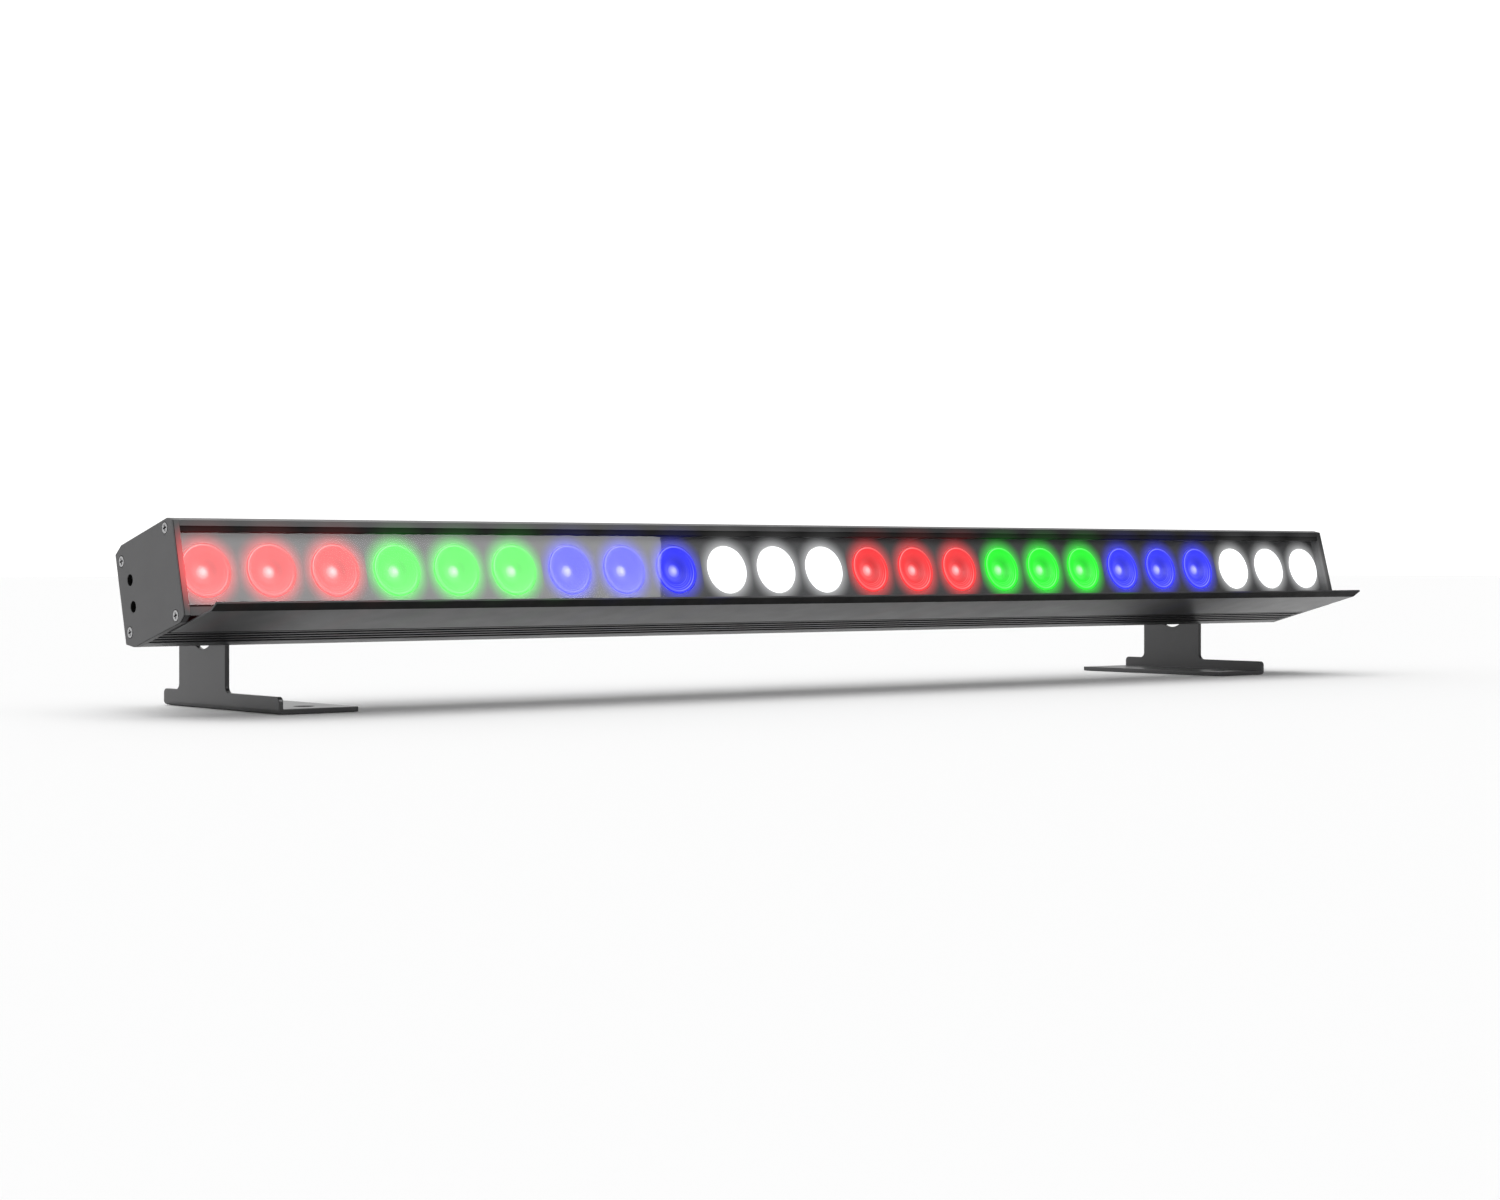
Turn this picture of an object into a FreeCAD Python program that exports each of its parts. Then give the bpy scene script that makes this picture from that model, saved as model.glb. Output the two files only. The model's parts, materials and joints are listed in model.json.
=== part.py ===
import FreeCAD, Part
import math
import os
import Sketcher
from FreeCAD import Placement, Rotation, Vector

# LED strip batten: a 1 m aluminium extrusion with 24 lenses behind a clear window, two end plates,
# a folding glare shield, two tilting floor brackets with clamping knobs, and its electronics inside.
#
# Row frame: +X along the batten, +Y to the back, +Z up, origin on the floor below the middle.
# Housing frame: x as above, s back from the front face, u up from the section's centre line.
# Bracket frame: origin on the tilt axis, axes as the row frame.

DIMENSIONS = {
    # the batten's section
    "batten_length": 1000, "plate_thick": 4.4, "section_depth": 72, "section_height": 60,
    "front_flat": 54.5, "front_bevel": 5.5, "back_flat": 53, "back_bevel": 8.5, "wall": 2.4,
    "recess_up": -27.5, "web_front": 27.8, "web_back": 31.8, "ledge_half": 21.75, "ledge_end": 13,
    # ribbed underside
    "rib_first": 34.4, "rib_pitch": 6, "rib_half": 1.9, "rib_deep": 1.4,
    # window
    "opening_top": 24, "opening_low": -22.5, "slot_front": 1.6, "slot_back": 5.6,
    "slot_top": 25.6, "slot_low": -25, "pane_front": 2.1, "pane_back": 5.1,
    "seal_band": 3.1, "seal_front": 0.7,
    # optics
    "lens_pitch": 1000 / 24, "lens_radius": 16, "lens_front": 6.6, "lens_rim": 2.2, "lens_deep": 14,
    "lens_neck": 6.5, "mask_front": 7.5, "mask_thick": 1.5, "mask_hole": 16.25,
    "holder_radius": 16.35, "holder_wall": 1, "board_front": 26.1, "board_thick": 1.6,
    "board_half": 20, "board_length": 246, "emitter_side": 5, "emitter_tall": 2.6,
    # end-plate fasteners
    "port_front_s": 9.4, "port_front_u": 25.2, "port_back_s": 65.7, "port_back_u": 20.9,
    "core_radius": 1.65, "screw_radius": 2, "head_radius": 3.1, "head_deep": 2.2, "screw_reach": 14,
    "sink_gap": 0.5, "cross_reach": 1.9, "cross_half": 0.5, "cross_deep": 1.9,
    "rig_s": 57.8, "rig_u": 7.85, "rig_radius": 3.4, "rig_boss": 6, "rig_boss_deep": 6,
    # glare shield
    "shield_length": 990.6, "bead_s": 30, "bead_u": -26.4, "bead_radius": 2, "bead_fit": 0.05,
    "shield_under": -30.8, "shield_thick": 1.2, "shield_knee": 25.4, "shield_front": -22,
    "shield_tip": -29.7, "shield_lip": 2.5,
    # tilt brackets
    "tilt": 15, "pivot_s": 105.3, "pivot_u": -5, "pivot_up": 52.1, "pivot_y": 43.8,
    "bracket_outer": 432.5, "sheet": 3, "web_half": 29, "foot_front": 92.7, "foot_back": 48.83,
    "foot_width": 52.5, "strip_high": 10, "strip_corner": 3, "web_fillet": 4, "bend_outer": 2.6,
    "foot_hole": 6.25, "foot_hole_front": 21.2, "foot_hole_in": 28.5,
    "stud_radius": 4, "stud_fit": 0.05, "slot_middle": 14, "slot_half": 3, "pin_radius": 2.5,
    "slot_start": 86, "slot_sweep": 204, "pin_angle": 165,
    "tab_thick": 4, "tab_radius": 12, "washer_thick": 1,
    "washer_gap": 0.1, "washer_radius": 10.5, "knob_radius": 14, "knob_hub": 10, "knob_lobe": 4.2,
    "knob_thick": 16, "stud_end": 457.5, "stud_head": 7, "stud_head_thick": 3,
    # rear panel
    "panel_half": 186, "panel_up": 23, "panel_thick": 2, "cutout_half": 174, "cutout_up": 17,
    "flange_x": 26, "flange_u": 31, "flange_thick": 2, "shell_radius": 11.8, "shell_deep": 20,
    "panel_fit": 0.05, "socket_radius": 9.6, "socket_deep": 14, "power_in_x": -148, "power_out_x": -112,
    "dmx_in_x": 112, "dmx_out_x": 148, "fuse_x": -76, "fuse_radius": 8, "display_x": -22,
    "display_wide": 48, "display_tall": 20, "button_x": 22, "button_pitch": 14, "button_radius": 4,
    "button_fit": 0.08, "eye_x": 215,
    # power supply: a folded case from low to high along the batten, with a card and its components
    "supply_low": -440, "supply_high": -230, "supply_front": 34.8, "supply_back": 58,
    "supply_under": -21, "supply_top": 23, "case_gauge": 1.2, "card_thick": 1.6, "card_inset": 4,
    "can_radius": 5.5, "can_pitch": 12, "can_back": 54,
    # driver board: eight channels, each with a choke and a chip
    "driver_low": 236, "driver_high": 436, "driver_front": 36, "driver_under": -19, "driver_top": 22,
    "channel_first": 248, "channel_pitch": 23, "choke_wide": 12, "choke_back": 46, "chip_wide": 6,
    # control board behind the display and buttons
    "control_low": -52, "control_high": 78, "control_front": 56, "control_half": 15,
    "switch_half": 3, "switch_back": 64, "chip_half": 7,
    # small screws: boards and rear panel
    "small_screw": 1.25, "small_head": 2.4, "small_head_tall": 1.5, "hex_radius": 1,
    "board_screw_u": 17, "panel_screw_x": 180, "panel_screw_u": 12, "flange_screw_x": 9.5,
    "tab_screw_u": 10, "tab_screw_in": 19, "tab_head": 3.8, "tab_head_tall": 2.4,
}

PARTS_FOLDER = "parts"
LENS_COUNT = 24
LENSES_PER_ZONE = 3
BOARD_COUNT = 4
RIB_COUNT = 4
BUTTON_COUNT = 4
SIDES = {"left": -1, "right": 1}

doc = FreeCAD.newDocument("led_strip_batten")
sheet = doc.addObject("Spreadsheet::Sheet", "dims")
for row, (alias, number) in enumerate(DIMENSIONS.items(), start=1):
    sheet.set(f"A{row}", alias)
    sheet.set(f"B{row}", f"{number:.6f}")
    sheet.setAlias(f"B{row}", alias)
doc.recompute()

sub_parts = {}


def size(alias):
    """A driving dimension as a number, read from the sheet."""
    return float(sheet.get(alias))


# ---------------------------------------------------------------- helpers

TURN_TO = {
    "x": Rotation(Vector(0, 1, 0), 90),
    "s": Rotation(Vector(1, 0, 0), -90),
    "u": Rotation(),
}


def block(name, x, s, u):
    """A box between (low, high) expressions along each axis."""
    solid = doc.addObject("Part::Box", name)
    sides = zip(("Length", "Width", "Height"), "xyz", (x, s, u))
    for prop, axis, (low, high) in sides:
        solid.setExpression(prop, f"({high}) - ({low})")
        solid.setExpression(f"Placement.Base.{axis}", f"{low}")
    return solid


def put_round(solid, along, low, high, centre):
    """Lay a cylinder or cone along an axis, from low to high, at the other two coordinates."""
    solid.setExpression("Height", f"({high}) - ({low})")
    solid.Placement = Placement(Vector(), TURN_TO[along])
    where = list(centre)
    where.insert("xsu".index(along), low)
    for axis, expression in zip("xyz", where):
        solid.setExpression(f"Placement.Base.{axis}", f"{expression}")
    return solid


def rod(name, along, radius, low, high, centre):
    solid = doc.addObject("Part::Cylinder", name)
    solid.setExpression("Radius", f"{radius}")
    return put_round(solid, along, low, high, centre)


def cone(name, along, radius_low, radius_high, low, high, centre):
    solid = doc.addObject("Part::Cone", name)
    solid.setExpression("Radius1", f"{radius_low}")
    solid.setExpression("Radius2", f"{radius_high}")
    return put_round(solid, along, low, high, centre)


def fuse(name, solids):
    joined = doc.addObject("Part::MultiFuse", name)
    joined.Shapes = solids
    joined.Refine = True
    return joined


def group(name, solids):
    """Separate solids that share one node."""
    compound = doc.addObject("Part::Compound", name)
    compound.Links = solids
    return compound


def cut(name, base, tools):
    """Base less all the tools."""
    result = doc.addObject("Part::Cut", name)
    result.Base = base
    result.Tool = tools[0] if len(tools) == 1 else fuse(f"{name}_tools", tools)
    return result


def section_sketch(body, name, loops):
    """A sketch on the body's YZ plane, each loop a list of (s, u) expressions."""
    plane = [item for item in body.Origin.OriginFeatures if item.Role == "YZ_Plane"][0]
    sketch = body.newObject("Sketcher::SketchObject", name)
    sketch.AttachmentSupport = [(plane, "")]
    sketch.MapMode = "FlatFace"
    for loop in loops:
        first = sketch.GeometryCount
        count = len(loop)
        turn = 2 * math.pi / count
        ring = [Vector(math.cos(i * turn), math.sin(i * turn), 0) for i in range(count)]
        for i in range(count):
            sketch.addGeometry(Part.LineSegment(ring[i], ring[(i + 1) % count]), False)
        for i in range(count):
            follows = first + (i + 1) % count
            sketch.addConstraint(Sketcher.Constraint("Coincident", first + i, 2, follows, 1))
        for i, corner in enumerate(loop):
            starts = (("DistanceX", ring[i].x), ("DistanceY", ring[i].y))
            for (kind, start), expression in zip(starts, corner):
                rule = Sketcher.Constraint(kind, -1, 1, first + i, 1, start)
                index = sketch.addConstraint(rule)
                sketch.setExpression(f"Constraints[{index}]", f"{expression}")
    return sketch


def section_body(name, outline, holes, length):
    """An extruded section, centred on x = 0: an outline pad, with each hole cut right through."""
    body = doc.addObject("PartDesign::Body", name)
    pad = body.newObject("PartDesign::Pad", f"{name}_pad")
    pad.Profile = section_sketch(body, f"{name}_outline", [outline])
    pad.Midplane = True
    pad.setExpression("Length", length)
    doc.recompute()
    for number, hole in enumerate(holes, start=1):
        before = body.Shape.Volume
        pocket = body.newObject("PartDesign::Pocket", f"{name}_pocket_{number}")
        pocket.Profile = section_sketch(body, f"{name}_hole_{number}", [hole])
        pocket.Midplane = True
        pocket.setExpression("Length", f"{length} + 2")
        doc.recompute()
        if body.Shape.Volume >= before:
            raise RuntimeError(f"{name}: hole {number} cuts nothing")
    return body


def place_in_housing(feature):
    """Housing frame to row frame: tilted back about the tilt axis."""
    turn = Rotation(Vector(1, 0, 0), -size("tilt"))
    pivot = Vector(0, size("pivot_s"), size("pivot_u"))
    target = Vector(0, size("pivot_y"), size("pivot_up"))
    feature.Placement = Placement(target - turn.multVec(pivot), turn)


def place_on_pivot(feature):
    """Bracket frame to row frame."""
    feature.Placement = Placement(Vector(0, size("pivot_y"), size("pivot_up")), Rotation())


def sub_part(label, feature, place):
    feature.Label = label
    place(feature)
    sub_parts[label] = feature


def span(side, low, high):
    """An (low, high) pair measured outwards along x on one side of the batten."""
    if side > 0:
        return f"{low}", f"{high}"
    return f"-({high})", f"-({low})"


def lens_x(number):
    """Expression for the middle of lens 1 to 24."""
    return f"({number} - {(LENS_COUNT + 1) / 2}) * dims.lens_pitch"


BACK = "dims.section_depth"
TOP = "dims.section_height / 2"
INSIDE_TOP = "dims.section_height / 2 - dims.wall"
BACK_FLAT = "dims.back_flat / 2"
HALF = "dims.batten_length / 2"
INNER_LENGTH = "dims.batten_length - 2 * dims.plate_thick"
PORTS = [(f"dims.port_{end}_s", f"{sign}dims.port_{end}_u")
         for end in ("front", "back") for sign in ("", "-")]


# ---------------------------------------------------------------- housing

def extrusion():
    mouth_low = ("dims.bead_s + 0.36", "dims.bead_u - 2.02")
    mouth_high = ("dims.bead_s - 2.02", "dims.bead_u - 0.36")
    outline = [
        ("0", "dims.recess_up"), ("0", "dims.front_flat / 2"), ("dims.front_bevel", TOP),
        (f"{BACK} - dims.back_bevel", TOP), (BACK, BACK_FLAT), (BACK, f"-{BACK_FLAT}"),
        (f"{BACK} - dims.back_bevel", f"-({TOP})"),
    ]
    for number in reversed(range(RIB_COUNT)):
        middle = f"dims.rib_first + {number} * dims.rib_pitch"
        floor = f"dims.rib_deep - {TOP}"
        outline += [
            (f"{middle} + dims.rib_half", f"-({TOP})"), (f"{middle} + dims.rib_half", floor),
            (f"{middle} - dims.rib_half", floor), (f"{middle} - dims.rib_half", f"-({TOP})"),
        ]
    outline += [
        ("dims.bead_s + 0.5", f"-({TOP})"), mouth_low, mouth_high,
        ("dims.bead_s - 3", "dims.recess_up"),
    ]
    low_inside = "dims.recess_up + dims.wall"
    front_chamber = [
        ("-1", "dims.opening_low"), ("dims.slot_front", "dims.opening_low"),
        ("dims.slot_front", "dims.slot_low"), ("dims.slot_back", "dims.slot_low"),
        ("dims.slot_back", "-dims.ledge_half"), ("dims.ledge_end", "-dims.ledge_half"),
        ("dims.ledge_end", low_inside), ("dims.bead_s - 5", low_inside),
        ("dims.bead_s - 5", "-dims.ledge_half"), ("dims.web_front", "-dims.ledge_half"),
        ("dims.web_front", INSIDE_TOP), ("dims.ledge_end", INSIDE_TOP),
        ("dims.ledge_end", "dims.ledge_half"), ("dims.slot_back", "dims.ledge_half"),
        ("dims.slot_back", "dims.slot_top"), ("dims.slot_front", "dims.slot_top"),
        ("dims.slot_front", "dims.opening_top"), ("-1", "dims.opening_top"),
    ]
    port_s = "dims.port_back_s - 3.9"
    port_u = "dims.port_back_u - 3.7"
    rear_chamber = [
        ("dims.web_back", "-dims.ledge_half"), ("dims.bead_s + 4.6", "-dims.ledge_half"),
        ("dims.bead_s + 4.6", f"-({INSIDE_TOP})"), (f"{port_s} - 3.3", f"-({INSIDE_TOP})"),
        (port_s, "-24.5"), (port_s, f"-({port_u})"), (f"{BACK} - dims.wall", f"-({port_u})"),
        (f"{BACK} - dims.wall", port_u), (port_s, port_u), (port_s, "24.5"),
        (f"{port_s} - 3.3", INSIDE_TOP), ("dims.web_back", INSIDE_TOP),
    ]
    body = section_body("extruded_section", outline, [front_chamber, rear_chamber], INNER_LENGTH)
    through = (f"-{HALF}", HALF)
    tools = [rod("bead_groove", "x", "dims.bead_radius + dims.bead_fit", *through,
                 ("dims.bead_s", "dims.bead_u"))]
    for number, port in enumerate(PORTS):
        tools.append(rod(f"port_core_{number}", "x", "dims.core_radius", *through, port))
    tools.append(block("panel_cutout", ("-dims.cutout_half", "dims.cutout_half"),
                       (f"{BACK} - 6", f"{BACK} + 1"), ("-dims.cutout_up", "dims.cutout_up")))
    for number, (x, u) in enumerate(panel_screw_places()):
        tools.append(rod(f"panel_tapping_{number}", "s", "dims.small_screw", f"{BACK} - 4",
                         f"{BACK} + 1", (x, u)))
    for number, (x, u) in enumerate(tab_screw_places()):
        tools.append(rod(f"tab_tapping_{number}", "s", "dims.screw_radius", f"{BACK} - 4",
                         f"{BACK} + 1", (x, u)))
    tools.append(rod("eye_tapping", "s", "3", f"{BACK} - 4", f"{BACK} + 1", ("dims.eye_x", "0")))
    for number, (x, u) in enumerate(board_screw_places()):
        tools.append(rod(f"board_tapping_{number}", "s", "dims.small_screw", "dims.web_front - 1",
                         "dims.web_back - 0.5", (x, u)))
    for number, x in enumerate(("-200", "200")):
        tools.append(rod(f"lead_hole_{number}", "s", "4", "dims.web_front - 1",
                         "dims.web_back + 1", (x, "14")))
    sub_part("housing_extrusion", cut("extrusion", body, tools), place_in_housing)


def end_plate(name, side):
    outline = [
        ("0", "-dims.front_flat / 2"), ("0", "dims.front_flat / 2"), ("dims.front_bevel", TOP),
        (f"{BACK} - dims.back_bevel", TOP), (BACK, BACK_FLAT), (BACK, f"-{BACK_FLAT}"),
        (f"{BACK} - dims.back_bevel", f"-({TOP})"), ("dims.front_bevel", f"-({TOP})"),
    ]
    body = section_body(f"plate_blank_{name}", outline, [], "dims.plate_thick")
    shifted = doc.addObject("Part::Compound", f"plate_shifted_{name}")
    shifted.Links = [body]
    shifted.setExpression("Placement.Base.x", f"{side} * ({HALF} - dims.plate_thick / 2)")
    inner = f"{HALF} - dims.plate_thick"
    bosses = [shifted]
    tools = []
    for number, sign in enumerate(("", "-")):
        place = ("dims.rig_s", f"{sign}dims.rig_u")
        bosses.append(rod(f"rig_boss_{name}_{number}", "x", "dims.rig_boss",
                          *span(side, f"{inner} - dims.rig_boss_deep", f"{inner} + 1"), place))
        tools.append(rod(f"rig_hole_{name}_{number}", "x", "dims.rig_radius",
                         *span(side, f"{inner} - dims.rig_boss_deep - 1", f"{HALF} + 1"), place))
    for number, port in enumerate(PORTS):
        tools.append(rod(f"plate_hole_{name}_{number}", "x", "dims.screw_radius",
                         *span(side, f"{inner} - 1", f"{HALF} + 1"), port))
        tools.append(countersink(f"plate_sink_{name}_{number}", side, port, "dims.sink_gap"))
    plate = cut(f"plate_{name}", fuse(f"plate_solid_{name}", bosses), tools)
    sub_part(f"end_plate_{name}", plate, place_in_housing)


def countersink(name, side, port, gap):
    """A countersunk head, or its seat with a gap all round, wide end on the plate's outer face."""
    low, high = span(side, f"{HALF} - dims.head_deep", HALF)
    radii = ("dims.screw_radius", f"dims.head_radius + {gap}")
    if side < 0:
        radii = radii[::-1]
    return cone(name, "x", *radii, low, high, port)


def end_plate_screw(tag, side, port):
    """One countersunk screw with a cross recess."""
    head = countersink(f"screw_head_{tag}", side, port, "0")
    neck = rod(f"screw_neck_{tag}", "x", "dims.screw_radius",
               *span(side, f"{HALF} - dims.plate_thick", f"{HALF} - dims.head_deep"), port)
    shank = rod(f"screw_shank_{tag}", "x", "dims.core_radius",
                *span(side, f"{HALF} - dims.screw_reach", f"{HALF} - dims.plate_thick"), port)
    deep = span(side, f"{HALF} - dims.cross_deep", f"{HALF} + 1")
    long_s, long_u = [(f"{centre} - dims.cross_reach", f"{centre} + dims.cross_reach") for centre in port]
    thin_s, thin_u = [(f"{centre} - dims.cross_half", f"{centre} + dims.cross_half") for centre in port]
    cross = [
        block(f"cross_wide_{tag}", deep, long_s, thin_u),
        block(f"cross_tall_{tag}", deep, thin_s, long_u),
    ]
    return cut(f"screw_{tag}", fuse(f"screw_solid_{tag}", [head, neck, shank]), cross)


def end_plate_screws():
    screws = []
    for name, side in SIDES.items():
        for number, port in enumerate(PORTS):
            screws.append(end_plate_screw(f"{name}_{number}", side, port))
    sub_part("end_plate_screws", group("plate_screws", screws), place_in_housing)


def window():
    span_x = (f"-({INNER_LENGTH}) / 2", f"({INNER_LENGTH}) / 2")
    pane = block("pane", span_x, ("dims.pane_front", "dims.pane_back"),
                 ("dims.slot_low + 0.4", "dims.slot_top - 0.4"))
    sub_part("front_window", group("window", [pane]), place_in_housing)
    edges = {
        "top": ("dims.opening_top - dims.seal_band", "dims.opening_top", "dims.slot_top"),
        "bottom": ("dims.opening_low + 1.2", "dims.opening_low", "dims.slot_low"),
    }
    for edge, (free, lip, root) in edges.items():
        proud = (free, lip) if edge == "top" else (lip, free)
        full = (free, root) if edge == "top" else (root, free)
        bead = block(f"seal_bead_{edge}", span_x, ("dims.seal_front", "dims.pane_front"), proud)
        flat = block(f"seal_flat_{edge}", span_x, ("dims.slot_front", "dims.pane_front"), full)
        sub_part(f"window_seal_{edge}", fuse(f"seal_{edge}", [bead, flat]), place_in_housing)


# ---------------------------------------------------------------- optics

def lens_plate():
    back = "dims.mask_front + dims.mask_thick"
    blank = block("mask_blank", (f"-({INNER_LENGTH}) / 2", f"({INNER_LENGTH}) / 2"),
                  ("dims.mask_front", back), ("-dims.ledge_half", "dims.ledge_half"))
    holes = [rod(f"mask_hole_{number}", "s", "dims.mask_hole", "dims.mask_front - 1", f"{back} + 1",
                 (lens_x(number), "0")) for number in range(1, LENS_COUNT + 1)]
    sub_part("lens_plate", cut("mask", blank, holes), place_in_housing)


def lens(number):
    """A flat-fronted collimator lens that narrows towards its emitter."""
    place = (lens_x(number), "0")
    rim_back = "dims.lens_front + dims.lens_rim"
    back = "dims.lens_front + dims.lens_deep"
    rim = rod(f"lens_rim_{number}", "s", "dims.lens_radius", "dims.lens_front", rim_back, place)
    bowl = cone(f"lens_bowl_{number}", "s", "dims.lens_radius - 0.8", "dims.lens_neck",
                rim_back, back, place)
    well = rod(f"lens_well_{number}", "s", "dims.lens_neck - 3", f"{back} - 4", f"{back} + 1", place)
    return cut(f"lens_{number}", fuse(f"lens_solid_{number}", [rim, bowl]), [well])


def lens_zones():
    for zone in range(LENS_COUNT // LENSES_PER_ZONE):
        first = zone * LENSES_PER_ZONE + 1
        lenses = [lens(number) for number in range(first, first + LENSES_PER_ZONE)]
        sub_part(f"zone_{zone + 1}_lenses", group(f"zone_{zone + 1}", lenses), place_in_housing)


def holders_and_emitters():
    """Ring holders that stand on the boards and carry the lens rims, and one emitter inside each."""
    holders = []
    emitters = []
    half = "dims.emitter_side / 2"
    for number in range(1, LENS_COUNT + 1):
        place = (lens_x(number), "0")
        front = "dims.mask_front + dims.mask_thick"
        ring = rod(f"holder_ring_{number}", "s", "dims.holder_radius", front, "dims.board_front", place)
        bore = rod(f"holder_bore_{number}", "s", "dims.holder_radius - dims.holder_wall",
                   f"{front} - 1", "dims.board_front + 1", place)
        holders.append(cut(f"holder_{number}", ring, [bore]))
        middle = lens_x(number)
        emitters.append(block(f"emitter_{number}", (f"{middle} - {half}", f"{middle} + {half}"),
                              ("dims.board_front - dims.emitter_tall", "dims.board_front"),
                              (f"-{half}", half)))
    sub_part("lens_holders", group("holders", holders), place_in_housing)
    sub_part("led_emitters", group("emitters", emitters), place_in_housing)


def board_screw_places():
    """Four screws on each board, above and below the centre line, midway between lenses."""
    per_board = LENS_COUNT // BOARD_COUNT
    places = []
    for number in range(BOARD_COUNT):
        for gap in (1, per_board - 1):
            x = f"({number * per_board + gap} - {LENS_COUNT // 2}) * dims.lens_pitch"
            places += [(x, "dims.board_screw_u"), (x, "-dims.board_screw_u")]
    return places


def led_boards():
    back = "dims.board_front + dims.board_thick"
    for number in range(1, BOARD_COUNT + 1):
        middle = f"({number} - {(BOARD_COUNT + 1) / 2}) * ({INNER_LENGTH}) / {BOARD_COUNT}"
        blank = block(f"board_blank_{number}",
                      (f"{middle} - dims.board_length / 2", f"{middle} + dims.board_length / 2"),
                      ("dims.board_front", back), ("-dims.board_half", "dims.board_half"))
        places = board_screw_places()[(number - 1) * 4:number * 4]
        holes = [rod(f"board_hole_{number}_{i}", "s", "dims.small_screw", "dims.board_front - 1",
                     f"{back} + 1", place) for i, place in enumerate(places)]
        sub_part(f"led_board_{number}", cut(f"board_{number}", blank, holes), place_in_housing)
    screws = []
    for number, place in enumerate(board_screw_places()):
        head = rod(f"board_head_{number}", "s", "dims.small_head", "dims.board_front - 1.6",
                   "dims.board_front", place)
        shank = rod(f"board_shank_{number}", "s", "dims.small_screw", "dims.board_front",
                    "dims.web_back - 0.5", place)
        screws.append(fuse(f"board_screw_{number}", [head, shank]))
    sub_part("led_board_screws", group("board_screws", screws), place_in_housing)


# ---------------------------------------------------------------- electronics

def power_supply():
    across = ("dims.supply_low", "dims.supply_high")
    tall = ("dims.supply_under", "dims.supply_top")
    gauge = "dims.case_gauge"
    shell = block("supply_block", across, ("dims.supply_front", "dims.supply_back"), tall)
    inside = block("supply_hollow", [f"{end} {sign} {gauge}" for end, sign in zip(across, "+-")],
                   (f"dims.supply_front + {gauge}", "dims.supply_back + 1"),
                   [f"{end} {sign} {gauge}" for end, sign in zip(tall, "+-")])
    notches = [block(f"supply_notch_{number}", ("dims.supply_high - 7", "dims.supply_high + 7"),
                     ("40", "50"), (f"{low_u}", f"{low_u} + 10")) for number, low_u in enumerate((6, -8))]
    sub_part("power_supply_case", cut("supply_case", shell, [inside] + notches), place_in_housing)
    cover = block("supply_cover", across, ("dims.supply_back", f"dims.supply_back + {gauge}"), tall)
    sub_part("power_supply_cover", group("supply_lid", [cover]), place_in_housing)
    card_front = "37"
    card_back = f"{card_front} + dims.card_thick"
    pieces = [block("supply_card", ("dims.supply_low + dims.card_inset", "dims.supply_high - 6"),
                    (card_front, card_back), ("dims.supply_under + 3", "dims.supply_top - 3"))]
    coils = ((30, 20, 14), (70, 26, 17), (120, 34, 15))
    for number, (away, wide, deep) in enumerate(coils):
        start = f"dims.supply_low + {away}"
        pieces.append(block(f"supply_coil_{number}", (start, f"{start} + {wide}"),
                            (card_back, f"{card_back} + {deep}"), ("-14", "12")))
    for number in range(3):
        place = (f"dims.supply_high - 40 + {number} * dims.can_pitch", "0")
        pieces.append(rod(f"supply_can_{number}", "s", "dims.can_radius", card_back, "dims.can_back", place))
    sub_part("power_supply_board", fuse("supply_board", pieces), place_in_housing)


def driver_board():
    back = "dims.driver_front + dims.card_thick"
    pieces = [block("driver_card", ("dims.driver_low", "dims.driver_high"), ("dims.driver_front", back),
                    ("dims.driver_under", "dims.driver_top"))]
    for number in range(LENS_COUNT // LENSES_PER_ZONE):
        x = f"dims.channel_first + {number} * dims.channel_pitch"
        pieces.append(block(f"driver_choke_{number}", (x, f"{x} + dims.choke_wide"),
                            (back, "dims.choke_back"), ("-10", "2")))
        pieces.append(block(f"driver_chip_{number}", (x, f"{x} + dims.chip_wide"),
                            (back, f"{back} + 1.6"), ("8", "14")))
    sub_part("driver_board", fuse("driver", pieces), place_in_housing)


def control_board():
    back = "dims.control_front + dims.card_thick"
    half = "dims.switch_half"
    pieces = [block("control_card", ("dims.control_low", "dims.control_high"), ("dims.control_front", back),
                    ("-dims.control_half", "dims.control_half"))]
    pieces.append(block("control_chip", ("-3 - dims.chip_half", "dims.chip_half - 3"),
                        ("dims.control_front - 2", "dims.control_front"),
                        ("-dims.chip_half", "dims.chip_half")))
    for number in range(BUTTON_COUNT):
        x = f"dims.button_x + {number} * dims.button_pitch"
        pieces.append(block(f"control_switch_{number}", (f"{x} - {half}", f"{x} + {half}"),
                            (back, "dims.switch_back"), (f"-{half}", half)))
    sub_part("control_board", fuse("control", pieces), place_in_housing)


def display():
    half_x = "dims.display_wide / 2"
    half_u = "dims.display_tall / 2"
    face = f"{BACK} + dims.panel_thick"
    glass = block("display_glass", (f"dims.display_x - {half_x}", f"dims.display_x + {half_x}"),
                  (BACK, face), (f"-{half_u}", half_u))
    sub_part("display_window", group("display_pane", [glass]), place_in_housing)
    module = block("display_block", ("dims.display_x - 22", "dims.display_x + 22"),
                   ("57.6", f"{BACK} - 1"), ("-9", "9"))
    sub_part("display_module", group("display", [module]), place_in_housing)


# ---------------------------------------------------------------- rear panel

PANEL_FACE = f"{BACK} + dims.panel_thick"
CONNECTORS = ("power_in", "power_out", "dmx_in", "dmx_out")


def panel_screw_places():
    return [(f"{sign}dims.panel_screw_x", f"{up}dims.panel_screw_u") for sign in ("", "-")
            for up in ("", "-")]


def connector_screw_places():
    return [place for name in CONNECTORS for place in flange_screw_places(name)]


def flange_screw_places(name):
    """A connector's two screws, at opposite corners of its flange."""
    return [(f"dims.{name}_x {sign} dims.flange_screw_x", f"{up}dims.panel_screw_u")
            for sign, up in (("+", ""), ("-", "-"))]


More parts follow.
